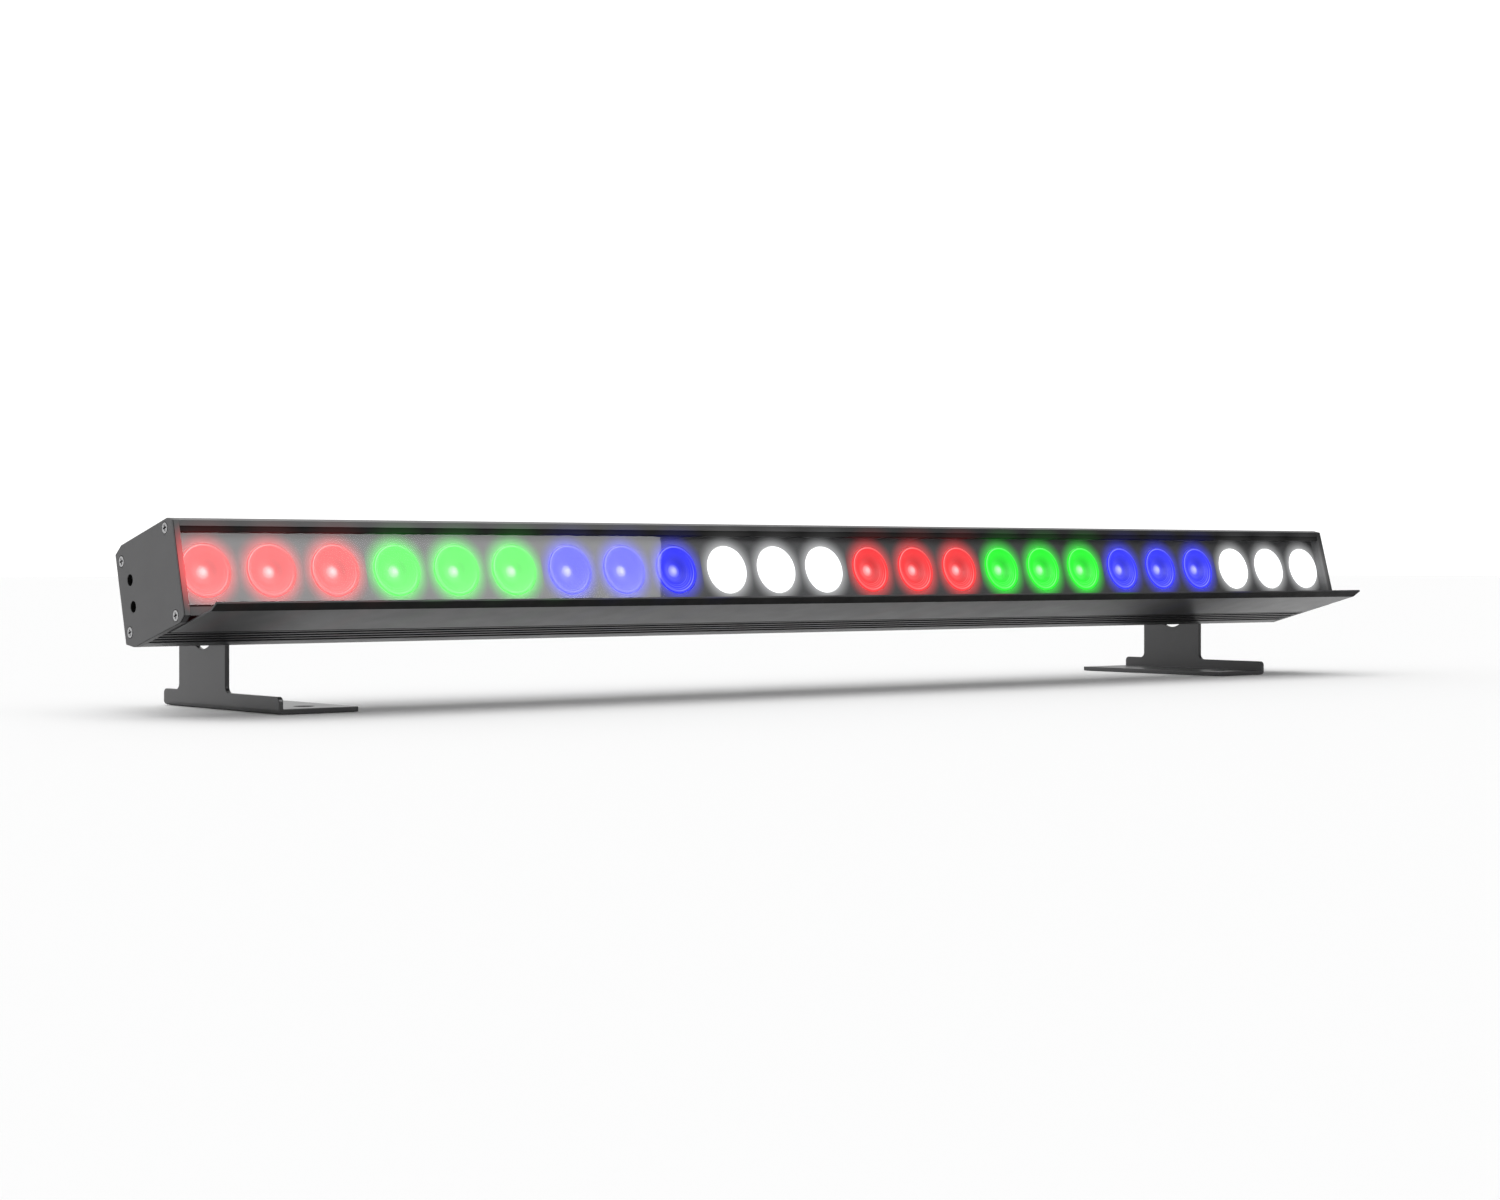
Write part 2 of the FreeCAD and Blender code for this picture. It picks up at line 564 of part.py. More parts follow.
def rear_panel():
    blank = block("panel_blank", ("-dims.panel_half", "dims.panel_half"), (BACK, PANEL_FACE),
                  ("-dims.panel_up", "dims.panel_up"))
    through = (f"{BACK} - 1", f"{PANEL_FACE} + 1")
    tools = [rod(f"panel_bore_{name}", "s", "dims.shell_radius + dims.panel_fit", *through,
                 (f"dims.{name}_x", "0")) for name in CONNECTORS]
    tools.append(rod("panel_bore_fuse", "s", "dims.fuse_radius - 2 + dims.panel_fit", *through,
                     ("dims.fuse_x", "0")))
    half_x = "dims.display_wide / 2"
    half_u = "dims.display_tall / 2"
    tools.append(block("panel_bore_display", (f"dims.display_x - {half_x}", f"dims.display_x + {half_x}"),
                       through, (f"-{half_u}", half_u)))
    tools.append(block("panel_bore_latch", ("dims.dmx_out_x - 4.3", "dims.dmx_out_x + 4.3"), through,
                       ("10", "15.2")))
    for number in range(BUTTON_COUNT):
        tools.append(rod(f"panel_bore_button_{number}", "s", "dims.button_radius + dims.button_fit",
                         *through, (f"dims.button_x + {number} * dims.button_pitch", "0")))
    for number, place in enumerate(panel_screw_places() + connector_screw_places()):
        tools.append(rod(f"panel_pilot_{number}", "s", "dims.small_screw", *through, place))
    sub_part("rear_panel", cut("panel", blank, tools), place_in_housing)
    screws = [dome_screw(f"panel_screw_{number}", PANEL_FACE, f"{BACK} - 2.4", place)
              for number, place in enumerate(panel_screw_places())]
    face = f"{PANEL_FACE} + dims.flange_thick"
    screws += [dome_screw(f"connector_screw_{number}", face, f"{BACK}", place)
               for number, place in enumerate(connector_screw_places())]
    sub_part("rear_panel_screws", group("panel_screws", screws), place_in_housing)


def dome_screw(name, face, tip, place):
    """A small pan-head screw with a hex socket, standing on a face that looks back."""
    head = rod(f"{name}_head", "s", "dims.small_head", face, f"{face} + dims.small_head_tall", place)
    shank = rod(f"{name}_shank", "s", "dims.small_screw", tip, face, place)
    socket = rod(f"{name}_socket", "s", "dims.hex_radius", f"{face} + 0.6", f"{face} + 2", place)
    return cut(name, fuse(f"{name}_solid", [head, shank]), [socket])


def three_about(x, radius):
    """Three places evenly round a socket's middle, the first at the top."""
    turns = [math.radians(turn) for turn in (90, 210, 330)]
    return [(f"{x} + {radius * math.cos(turn):.3f}", f"{radius * math.sin(turn):.3f}") for turn in turns]


def connector(name):
    """A round chassis socket on a square flange, with its contacts at the socket's floor."""
    x = f"dims.{name}_x"
    face = f"{PANEL_FACE} + dims.flange_thick"
    flange = block(f"{name}_flange", (f"{x} - dims.flange_x / 2", f"{x} + dims.flange_x / 2"),
                   (PANEL_FACE, face), ("-dims.flange_u / 2", "dims.flange_u / 2"))
    shell = rod(f"{name}_shell", "s", "dims.shell_radius", f"{face} - dims.shell_deep", face, (x, "0"))
    tools = [rod(f"{name}_socket", "s", "dims.socket_radius", f"{face} - dims.socket_deep",
                 f"{face} + 1", (x, "0"))]
    for number, place in enumerate(flange_screw_places(name)):
        tools.append(rod(f"{name}_pilot_{number}", "s", "dims.small_screw", f"{PANEL_FACE} - 1",
                         f"{face} + 1", place))
    floor = f"{face} - dims.socket_deep"
    if name == "dmx_out":
        tools.append(block("latch_slot", (f"{x} - 4.1", f"{x} + 4.1"), (f"{face} - 7", f"{face} + 1"),
                           ("11", "15")))
    shell_part = cut(f"{name}_shell_cut", fuse(f"{name}_solid", [flange, shell]), tools)
    contacts = []
    if name.startswith("power"):
        for number, dx in enumerate((-5, 0, 5)):
            contacts.append(block(f"{name}_blade_{number}", (f"{x} + {dx} - 0.6", f"{x} + {dx} + 0.6"),
                                  (f"{floor} - 1", f"{floor} + 7"), ("-2.5", "2.5")))
    elif name == "dmx_in":
        for number, place in enumerate(three_about(x, 4.7)):
            contacts.append(rod(f"{name}_pin_{number}", "s", "1.2", f"{floor} - 1", f"{floor} + 7", place))
    else:
        insert = rod(f"{name}_insert", "s", "7.4", f"{floor} - 1", f"{floor} + 7", (x, "0"))
        holes = [rod(f"{name}_hole_{number}", "s", "1.3", f"{floor} + 1", f"{floor} + 10", place)
                 for number, place in enumerate(three_about(x, 4.2))]
        contacts.append(cut(f"{name}_insert_cut", insert, holes))
    sub_part(f"{name}_connector", fuse(f"{name}_whole", [shell_part] + contacts), place_in_housing)


def latch():
    """The push tab that frees the plug from the signal output socket."""
    face = f"{PANEL_FACE} + dims.flange_thick"
    x = "dims.dmx_out_x"
    tab = block("latch_tab", (f"{x} - 4", f"{x} + 4"), (f"{face} - 5", f"{face} + 2"),
                ("11.1", "14.9"))
    sub_part("dmx_out_latch", group("latch", [tab]), place_in_housing)


def fuse_parts():
    place = ("dims.fuse_x", "0")
    face = f"{PANEL_FACE} + dims.flange_thick"
    flange = rod("fuse_flange", "s", "dims.fuse_radius", PANEL_FACE, face, place)
    barrel = rod("fuse_barrel", "s", "dims.fuse_radius - 2", "46", PANEL_FACE, place)
    bore = rod("fuse_bore", "s", "4", "48", f"{face} + 1", place)
    holder = cut("fuse_socket", fuse("fuse_solid", [flange, barrel]), [bore])
    sub_part("fuse_holder", holder, place_in_housing)
    tube = rod("fuse_tube", "s", "2.5", "49", "69", place)
    sub_part("fuse", group("fuse_link", [tube]), place_in_housing)
    cap = rod("fuse_cap_disc", "s", "6.5", f"{face} + 0.1", f"{face} + 6", place)
    stem = rod("fuse_cap_stem", "s", "3.9", "71", f"{face} + 0.2", place)
    slot = block("fuse_cap_slot", ("dims.fuse_x - 5", "dims.fuse_x + 5"),
                 (f"{face} + 4.6", f"{face} + 7"), ("-0.7", "0.7"))
    sub_part("fuse_cap", cut("fuse_lid", fuse("fuse_cap_solid", [cap, stem]), [slot]), place_in_housing)


def menu_buttons():
    for number in range(BUTTON_COUNT):
        place = (f"dims.button_x + {number} * dims.button_pitch", "0")
        stem = rod(f"button_stem_{number}", "s", "dims.button_radius", "65", f"{PANEL_FACE} + 1.8", place)
        dish = doc.addObject("Part::Sphere", f"button_dish_{number}")
        dish.setExpression("Radius", "10")
        for axis, expression in zip("xyz", (place[0], f"{PANEL_FACE} + 11.3", place[1])):
            dish.setExpression(f"Placement.Base.{axis}", expression)
        sub_part(f"menu_button_{number + 1}", cut(f"button_{number}", stem, [dish]), place_in_housing)


def cable(name, points, radius, bend):
    """A lead that runs between points, with an equal bend at each corner."""
    corners = [Vector(*point) for point in points]
    edges = []
    start = corners[0]
    for before, corner, after in zip(corners, corners[1:], corners[2:]):
        into = (before - corner).normalize()
        out = (after - corner).normalize()
        half_turn = (math.pi - into.getAngle(out)) / 2
        reach = bend * math.tan(half_turn)
        inward = (into + out).normalize()
        middle = corner + inward * (bend / math.cos(half_turn) - bend)
        edges.append(Part.LineSegment(start, corner + into * reach).toShape())
        edges.append(Part.Arc(corner + into * reach, middle, corner + out * reach).toShape())
        start = corner + out * reach
    edges.append(Part.LineSegment(start, corners[-1]).toShape())
    path = Part.Wire(edges)
    first_run = (corners[1] - corners[0]).normalize()
    ring = Part.Wire([Part.Circle(corners[0], first_run, radius).toShape()])
    lead = doc.addObject("Part::Feature", name)
    lead.Shape = path.makePipeShell([ring], True, False)
    return lead


def wiring():
    floor = size("section_depth") + size("panel_thick") + size("flange_thick") - size("shell_deep")
    power_in = size("power_in_x")
    power_out = size("power_out_x")
    leads = [
        cable("supply_lead", [(power_in, floor, 0), (power_in, 45, 0), (-200, 45, 11), (-235.5, 45, 11)],
              2.6, 6),
        cable("link_lead", [(power_in + 5, floor, -5), (power_in + 5, 46, -5), (power_out, 46, -5),
                            (power_out, floor, -5)], 2.2, 6),
        cable("low_voltage_lead", [(-235.5, 45, -3), (-190, 45, -3), (-160, 38, -14), (160, 38, -14),
                                   (200, 37, -6), (235.8, 37, -6)], 2.2, 8),
        cable("signal_lead", [(size("dmx_in_x"), floor, 4), (size("dmx_in_x"), 46, 4),
                              (size("dmx_out_x"), 46, 4), (size("dmx_out_x"), floor, 4)], 1.8, 6),
        cable("data_lead", [(size("dmx_in_x") - 3, floor, -5), (size("dmx_in_x") - 3, 50, -5),
                            (92, 56.8, -5), (78.2, 56.8, -5)], 1.2, 4),
    ]
    sub_part("wiring", group("leads", leads), place_in_housing)


# ---------------------------------------------------------------- tilt gear

OUTER = "dims.bracket_outer"
WEB_IN = f"{OUTER} - dims.sheet"
TAB_OUT = f"{WEB_IN} - 2 * dims.washer_gap - dims.washer_thick"
TAB_IN = f"{TAB_OUT} - dims.tab_thick"


def tab_screw_places():
    """Two screws through each tab's base, inboard of the bracket."""
    return [place for side in SIDES.values() for place in one_tab_screws(side)]


def one_tab_screws(side):
    return [(f"{side} * ({TAB_IN} - dims.tab_screw_in)", f"{sign}dims.tab_screw_u") for sign in ("", "-")]


def pivot_tab(name, side):
    """An angle piece: a base on the housing's back face and an ear that carries the stud."""
    base = block(f"tab_base_{name}", span(side, f"{TAB_OUT} - 34", TAB_OUT),
                 (BACK, f"{BACK} + dims.tab_thick"), ("-18", "18"))
    ear = block(f"tab_ear_{name}", span(side, TAB_IN, TAB_OUT), (BACK, "dims.pivot_s"),
                ("dims.pivot_u - dims.tab_radius", "dims.pivot_u + dims.tab_radius"))
    pivot = ("dims.pivot_s", "dims.pivot_u")
    nose = rod(f"tab_nose_{name}", "x", "dims.tab_radius", *span(side, TAB_IN, TAB_OUT), pivot)
    web = block(f"tab_root_{name}", span(side, TAB_IN, TAB_OUT), (BACK, f"{BACK} + 12"), ("-18", "18"))
    pin_lug = rod(f"tab_pin_lug_{name}", "x", "5", *span(side, TAB_IN, TAB_OUT), pin_place())
    through = span(side, f"{TAB_IN} - 1", f"{TAB_OUT} + 1")
    tools = [
        rod(f"tab_bore_{name}", "x", "dims.stud_radius + dims.stud_fit", *through, pivot),
        rod(f"tab_pin_bore_{name}", "x", "dims.pin_radius", *through, pin_place()),
    ]
    for number, place in enumerate(one_tab_screws(side)):
        tools.append(rod(f"tab_pilot_{name}_{number}", "s", "dims.screw_radius", f"{BACK} - 1",
                         f"{BACK} + dims.tab_thick + 1", place))
    solid = fuse(f"tab_solid_{name}", [base, ear, nose, web, pin_lug])
    sub_part(f"pivot_tab_{name}", cut(f"tab_{name}", solid, tools), place_in_housing)


def pin_place():
    """The guide pin's place in the housing frame, from its angle about the tilt axis at rest."""
    angle = math.radians(size("pin_angle") + size("tilt"))
    away_s = size("slot_middle") * math.cos(angle)
    away_u = size("slot_middle") * math.sin(angle)
    return f"dims.pivot_s + {away_s:.4f}", f"dims.pivot_u + {away_u:.4f}"


def tilt_hardware():
    pivot = ("dims.pivot_s", "dims.pivot_u")
    washers = []
    pins = []
    for name, side in SIDES.items():
        shank = rod(f"stud_shank_{name}", "x", "dims.stud_radius", *span(side, TAB_IN, "dims.stud_end"),
                    pivot)
        head = rod(f"stud_head_{name}", "x", "dims.stud_head",
                   *span(side, f"{TAB_IN} - dims.stud_head_thick", TAB_IN), pivot)
        sub_part(f"pivot_stud_{name}", fuse(f"stud_{name}", [shank, head]), place_in_housing)
        faces = span(side, TAB_OUT, f"{TAB_OUT} + dims.washer_thick")
        disc = rod(f"washer_disc_{name}", "x", "dims.washer_radius", *faces, pivot)
        bore = rod(f"washer_bore_{name}", "x", "dims.stud_radius", *faces, pivot)
        washers.append(cut(f"washer_{name}", disc, [bore]))
        pins.append(rod(f"guide_pin_{name}", "x", "dims.pin_radius", *span(side, TAB_IN, OUTER),
                        pin_place()))
    sub_part("tilt_washers", group("washers", washers), place_in_housing)
    sub_part("guide_pins", group("pins", pins), place_in_housing)
    screws = []
    face = f"{BACK} + dims.tab_thick"
    for number, place in enumerate(tab_screw_places()):
        head = rod(f"tab_screw_head_{number}", "s", "dims.tab_head", face, f"{face} + dims.tab_head_tall",
                   place)
        shank = rod(f"tab_screw_shank_{number}", "s", "dims.screw_radius", f"{BACK} - 2.4", face, place)
        hexagon = rod(f"tab_screw_socket_{number}", "s", "1.5", f"{face} + 1", f"{face} + 3", place)
        screws.append(cut(f"tab_screw_{number}", fuse(f"tab_screw_solid_{number}", [head, shank]),
                          [hexagon]))
    sub_part("tab_screws", group("tab_screw_set", screws), place_in_housing)


def bracket(name, side):
    """A sheet-steel L: a round-topped web with the tilt slot, on a long strip with a foot flange."""
    across = span(side, WEB_IN, OUTER)
    floor = "-dims.pivot_up"
    strip_top = "dims.strip_high - dims.pivot_up"
    web = block(f"web_{name}", across, ("-dims.web_half", "dims.web_half"), (floor, "0"))
    crown = rod(f"crown_{name}", "x", "dims.web_half", *across, ("0", "0"))
    strip = block(f"strip_{name}", across, ("-dims.foot_front", "dims.foot_back"), (floor, strip_top))
    foot = block(f"foot_{name}", span(side, f"{OUTER} - dims.foot_width", OUTER),
                 ("-dims.foot_front", "dims.foot_back"), (floor, f"{floor} + dims.sheet"))
    plain = fuse(f"bracket_plain_{name}", [web, crown, strip, foot])
    doc.recompute()
    rounded = doc.addObject("Part::Fillet", f"bracket_rounded_{name}")
    rounded.Base = plain
    rounded.Edges = bracket_edges(plain.Shape, side)
    through = span(side, f"{WEB_IN} - 1", f"{OUTER} + 1")
    sector = rod(f"slot_sector_{name}", "x", "dims.slot_middle + dims.slot_half", *through, ("0", "0"))
    sector.setExpression("Angle", "dims.slot_sweep")
    # a cylinder laid along x starts its sweep at -z, so the sector is turned on to its first angle
    sector.Placement = Placement(Vector(), Rotation(Vector(1, 0, 0), size("slot_start") + 90).multiply(
        TURN_TO["x"]))
    sector.setExpression("Placement.Base.x", through[0])
    core = rod(f"slot_core_{name}", "x", "dims.slot_middle - dims.slot_half", *through, ("0", "0"))
    tools = [cut(f"slot_ring_{name}", sector, [core])]
    for end, turn in (("start", size("slot_start")), ("end", size("slot_start") + size("slot_sweep"))):
        y = f"{math.cos(math.radians(turn)):.6f} * dims.slot_middle"
        z = f"{math.sin(math.radians(turn)):.6f} * dims.slot_middle"
        tools.append(rod(f"slot_{end}_{name}", "x", "dims.slot_half", *through, (y, z)))
    tools.append(rod(f"stud_bore_{name}", "x", "dims.stud_radius + dims.stud_fit", *through, ("0", "0")))
    tools.append(rod(f"foot_bore_{name}", "u", "dims.foot_hole", f"{floor} - 1",
                     f"{floor} + dims.sheet + 1",
                     (f"{side} * ({OUTER} - dims.foot_hole_in)", "dims.foot_hole_front - dims.foot_front")))
    sub_part(f"bracket_{name}", cut(f"bracket_cut_{name}", rounded, tools), place_on_pivot)


def bracket_edges(shape, side):
    """(edge number, radius, radius) for the strip ends, the web's roots and the sheet's bend."""
    strip_top = size("strip_high") - size("pivot_up")
    chosen = []
    for number, edge in enumerate(shape.Edges, start=1):
        box = edge.BoundBox
        runs_across = box.XLength > 1 and box.YLength < 0.01 and box.ZLength < 0.01
        at_strip_top = abs(box.ZMin - strip_top) < 0.01
        outer_low = abs(side * box.Center.x - size("bracket_outer")) < 0.01
        if runs_across and at_strip_top and abs(abs(box.YMin) - size("web_half")) < 0.01:
            chosen.append((number, size("web_fillet"), size("web_fillet")))
        elif runs_across and at_strip_top:
            chosen.append((number, size("strip_corner"), size("strip_corner")))
        elif outer_low and box.YLength > 100 and abs(box.ZMax + size("pivot_up")) < 0.01:
            chosen.append((number, size("bend_outer"), size("bend_outer")))
    return chosen


def knob(name, side):
    """A five-lobed clamping knob that turns on the stud, over its own washer."""
    low = f"{OUTER} + 2 * dims.washer_gap + dims.washer_thick"
    across = span(side, low, f"{low} + dims.knob_thick")
    pieces = [rod(f"knob_hub_{name}", "x", "dims.knob_hub", *across, ("0", "0"))]
    for number in range(5):
        turn = math.radians(72 * number + 18)
        y = f"{math.cos(turn):.6f} * (dims.knob_radius - dims.knob_lobe)"
        z = f"{math.sin(turn):.6f} * (dims.knob_radius - dims.knob_lobe)"
        pieces.append(rod(f"knob_lobe_{name}_{number}", "x", "dims.knob_lobe", *across, (y, z)))
    bore = rod(f"knob_bore_{name}", "x", "dims.stud_radius + dims.stud_fit", *across, ("0", "0"))
    sub_part(f"tilt_knob_{name}", cut(f"knob_{name}", fuse(f"knob_solid_{name}", pieces), [bore]),
             place_on_pivot)
    faces = span(side, f"{OUTER} + dims.washer_gap", low)
    disc = rod(f"clamp_disc_{name}", "x", "dims.washer_radius", *faces, ("0", "0"))
    hole = rod(f"clamp_bore_{name}", "x", "dims.stud_radius + dims.stud_fit", *faces, ("0", "0"))
    sub_part(f"clamp_washer_{name}", cut(f"clamp_{name}", disc, [hole]), place_on_pivot)


def glare_shield():
    """A folded sheet with a round bead along its back edge, which turns in the housing's groove."""
    top = "dims.shield_under + dims.shield_thick"
    outline = [
        ("dims.bead_s - 1", "dims.bead_u + 0.2"), ("dims.shield_knee", top),
        ("dims.shield_front", top), ("dims.shield_tip + 0.4", f"{top} + dims.shield_lip"),
        ("dims.shield_tip", "dims.shield_under + dims.shield_lip"),
        ("dims.shield_front - 0.3", "dims.shield_under"),
        ("dims.shield_knee + 0.6", "dims.shield_under"), ("dims.bead_s + 0.2", "dims.bead_u - 1"),
    ]
    plate = section_body("shield_sheet", outline, [], "dims.shield_length")
    bead = rod("shield_bead", "x", "dims.bead_radius", "-dims.shield_length / 2",
               "dims.shield_length / 2", ("dims.bead_s", "dims.bead_u"))
    sub_part("glare_shield", fuse("shield", [plate, bead]), place_in_housing)


def safety_eye():
    """A forged eye on a threaded stem, for the safety wire."""
    collar = rod("eye_collar", "s", "7", BACK, f"{BACK} + 3", ("dims.eye_x", "0"))
    stem = rod("eye_stem", "s", "3", f"{BACK} - 2.4", BACK, ("dims.eye_x", "0"))
    ring = doc.addObject("Part::Torus", "eye_ring")
    ring.Radius1 = 8
    ring.Radius2 = 2.5
    ring.Placement = Placement(Vector(), TURN_TO["x"])
    ring.setExpression("Placement.Base.x", "dims.eye_x")
    ring.setExpression("Placement.Base.y", f"{BACK} + 12")
    sub_part("safety_eye", fuse("eye", [collar, stem, ring]), place_in_housing)


# ---------------------------------------------------------------- build

extrusion()
for side_name, side_sign in SIDES.items():
    end_plate(side_name, side_sign)
end_plate_screws()
window()
lens_plate()
lens_zones()
holders_and_emitters()
led_boards()
power_supply()
driver_board()
control_board()
display()
rear_panel()
for connector_name in CONNECTORS:
    connector(connector_name)
latch()
fuse_parts()
menu_buttons()
wiring()
safety_eye()
for side_name, side_sign in SIDES.items():
    pivot_tab(side_name, side_sign)
    bracket(side_name, side_sign)
    knob(side_name, side_sign)
tilt_hardware()
glare_shield()
doc.recompute()

for item in doc.Objects:
    if "Invalid" in item.State or "Error" in item.State:
        raise RuntimeError(f"{item.Label} failed: {item.State}")
os.makedirs(PARTS_FOLDER, exist_ok=True)
for label, feature in sub_parts.items():
    shape = feature.Shape
    if shape.isNull() or not shape.isValid() or not shape.Solids:
        raise RuntimeError(f"{label} has no valid shape")
    shape.exportStep(os.path.join(PARTS_FOLDER, f"{label}.step"))
    print(f"{label}: {len(shape.Solids)} solids, {shape.Volume:.0f} mm3")
whole = Part.makeCompound([feature.Shape for feature in sub_parts.values()]).BoundBox
print(f"{len(sub_parts)} sub-parts, box x {whole.XMin:.2f} {whole.XMax:.2f}, "
      f"y {whole.YMin:.2f} {whole.YMax:.2f}, z {whole.ZMin:.2f} {whole.ZMax:.2f}")
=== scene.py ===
import json
import math

import bmesh
import bpy
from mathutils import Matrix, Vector

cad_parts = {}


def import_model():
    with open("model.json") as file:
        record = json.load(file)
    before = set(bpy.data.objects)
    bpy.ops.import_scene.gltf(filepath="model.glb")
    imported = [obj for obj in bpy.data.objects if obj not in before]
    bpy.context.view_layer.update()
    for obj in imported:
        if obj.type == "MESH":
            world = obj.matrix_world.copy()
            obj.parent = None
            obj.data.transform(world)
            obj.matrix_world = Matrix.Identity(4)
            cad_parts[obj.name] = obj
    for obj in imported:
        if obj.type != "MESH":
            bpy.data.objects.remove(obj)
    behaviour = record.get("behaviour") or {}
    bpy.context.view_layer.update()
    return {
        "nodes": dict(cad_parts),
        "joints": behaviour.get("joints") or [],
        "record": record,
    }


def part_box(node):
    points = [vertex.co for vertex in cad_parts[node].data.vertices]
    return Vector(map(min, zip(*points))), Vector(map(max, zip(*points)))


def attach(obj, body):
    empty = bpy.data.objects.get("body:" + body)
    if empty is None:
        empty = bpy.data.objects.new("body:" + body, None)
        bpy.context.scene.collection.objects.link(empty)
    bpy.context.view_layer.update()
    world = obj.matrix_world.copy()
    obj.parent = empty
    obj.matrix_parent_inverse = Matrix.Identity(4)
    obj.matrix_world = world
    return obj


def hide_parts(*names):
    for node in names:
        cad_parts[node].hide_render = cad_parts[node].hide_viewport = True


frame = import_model()

MM = 0.001
NODES = frame["nodes"]
JOINTS = {joint["name"]: joint for joint in frame["joints"]}
SLOT_OF = {part["node"]: part["material_slot"] for part in frame["record"]["subparts"]}
SIDES = {"left": -1, "right": 1}

# ---------------------------------------------------------------- the housing's own directions

BACK = -Vector(JOINTS["menu_button_1_press"]["axis"]).normalized()
ALONG = Vector((1, 0, 0))
UP = ALONG.cross(BACK)


def reach(node, direction):
    """How far a CAD node reaches along a direction, as (lowest, highest)."""
    far = [vertex.co.dot(direction) for vertex in NODES[node].data.vertices]
    return min(far), max(far)


FACE_S = reach("end_plate_left", BACK)[0]
MIDDLE_U = sum(reach("end_plate_left", UP)) / 2
LENS_COUNT = 24
PER_ZONE = 3
LENS_PITCH = (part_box("end_plate_right")[1].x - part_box("end_plate_left")[0].x) / LENS_COUNT


def at(x, s, u):
    """A point x along the batten, s behind its front face and u above its centre line, in metres."""
    return ALONG * x + BACK * (FACE_S + s) + UP * (MIDDLE_U + u)


def lens_middle(number):
    """How far along the batten lens 1 to 24 sits."""
    return (number - (LENS_COUNT + 1) / 2) * LENS_PITCH


# ---------------------------------------------------------------- shader node helpers

def feed(tree, value, socket):
    """Sets a number or colour on a socket, or links another node's output to it."""
    if isinstance(value, bpy.types.NodeSocket):
        tree.links.new(value, socket)
    else:
        socket.default_value = value


def maths_in(tree):
    """A function that adds a Math node to the tree and gives its output."""
    def maths(operation, first, second=0.0):
        node = tree.nodes.new("ShaderNodeMath")
        node.operation = operation
        for socket, value in zip(node.inputs, (first, second)):
            feed(tree, value, socket)
        return node.outputs["Value"]

    return maths


def dot_in(tree, vector, direction):
    """How far a vector output reaches along a direction."""
    node = tree.nodes.new("ShaderNodeVectorMath")
    node.operation = "DOT_PRODUCT"
    feed(tree, vector, node.inputs[0])
    feed(tree, direction, node.inputs[1])
    return node.outputs["Value"]


def scaled_in(tree, vector, factor):
    """A colour or vector times a factor."""
    node = tree.nodes.new("ShaderNodeVectorMath")
    node.operation = "SCALE"
    feed(tree, vector, node.inputs[0])
    feed(tree, factor, node.inputs["Scale"])
    return node.outputs["Vector"]


def ranged_in(tree, value, start, end, smooth=False):
    """A value taken from one range to another, and held at the new range's ends."""
    ramp = tree.nodes.new("ShaderNodeMapRange")
    ramp.interpolation_type = "SMOOTHSTEP" if smooth else "LINEAR"
    for name, number in zip(("From Min", "From Max", "To Min", "To Max"), (*start, *end)):
        ramp.inputs[name].default_value = number
    tree.links.new(value, ramp.inputs["Value"])
    return ramp.outputs["Result"]


# ---------------------------------------------------------------- materials

NOISE_RANGE = (0.3, 0.7)
COLOUR_DETAIL = 4
ROUGH_DETAIL = 3
GRAIN_DETAIL = 2


class Sheet:
    """A material's node tree with one Principled shader, built up by calls."""

    def __init__(self, name):
        self.material = bpy.data.materials.new(name)
        self.material.use_nodes = True
        self.tree = self.material.node_tree
        self.shader = self.tree.nodes["Principled BSDF"]

    def node(self, kind, **settings):
        made = self.tree.nodes.new(kind)
        for name, value in settings.items():
            setattr(made, name, value)
        return made

    def link(self, out, into):
        self.tree.links.new(out, into)

    def set(self, **values):
        """Shader sockets set by name, with _ for a space."""
        for name, value in values.items():
            self.shader.inputs[name.replace("_", " ")].default_value = value
        return self

    def noise(self, scale, detail, stretch):
        """Noise in the piece's own coordinates, so many features a metre, stretched if asked."""
        texture = self.node("ShaderNodeTexNoise")
        texture.inputs["Scale"].default_value = scale
        texture.inputs["Detail"].default_value = detail
        place = self.node("ShaderNodeTexCoord").outputs["Object"]
        if stretch:
            mapping = self.node("ShaderNodeMapping")
            mapping.inputs["Scale"].default_value = stretch
            self.link(place, mapping.inputs["Vector"])
            place = mapping.outputs["Vector"]
        self.link(place, texture.inputs["Vector"])
        return texture.outputs["Fac"]

    def vary_roughness(self, scale, low, high, stretch):
        noise = self.noise(scale, ROUGH_DETAIL, stretch)
        self.link(ranged_in(self.tree, noise, NOISE_RANGE, (low, high)), self.shader.inputs["Roughness"])

    def vary_colour(self, scale, one, two, stretch):
        mix = self.node("ShaderNodeMix", data_type="RGBA")
        mix.inputs["A"].default_value = (*one, 1)
        mix.inputs["B"].default_value = (*two, 1)
        noise = self.noise(scale, COLOUR_DETAIL, stretch)
        self.link(ranged_in(self.tree, noise, NOISE_RANGE, (0, 1)), mix.inputs["Factor"])
        self.link(mix.outputs["Result"], self.shader.inputs["Base Color"])

    def bump(self, scale, depth, stretch):
        """A raised grain so many metres deep."""
        relief = self.node("ShaderNodeBump")
        relief.inputs["Distance"].default_value = depth
        self.link(self.noise(scale, GRAIN_DETAIL, stretch), relief.inputs["Height"])
        self.link(relief.outputs["Normal"], self.shader.inputs["Normal"])


def shade(colour, factor):
    return tuple(channel * factor for channel in colour)


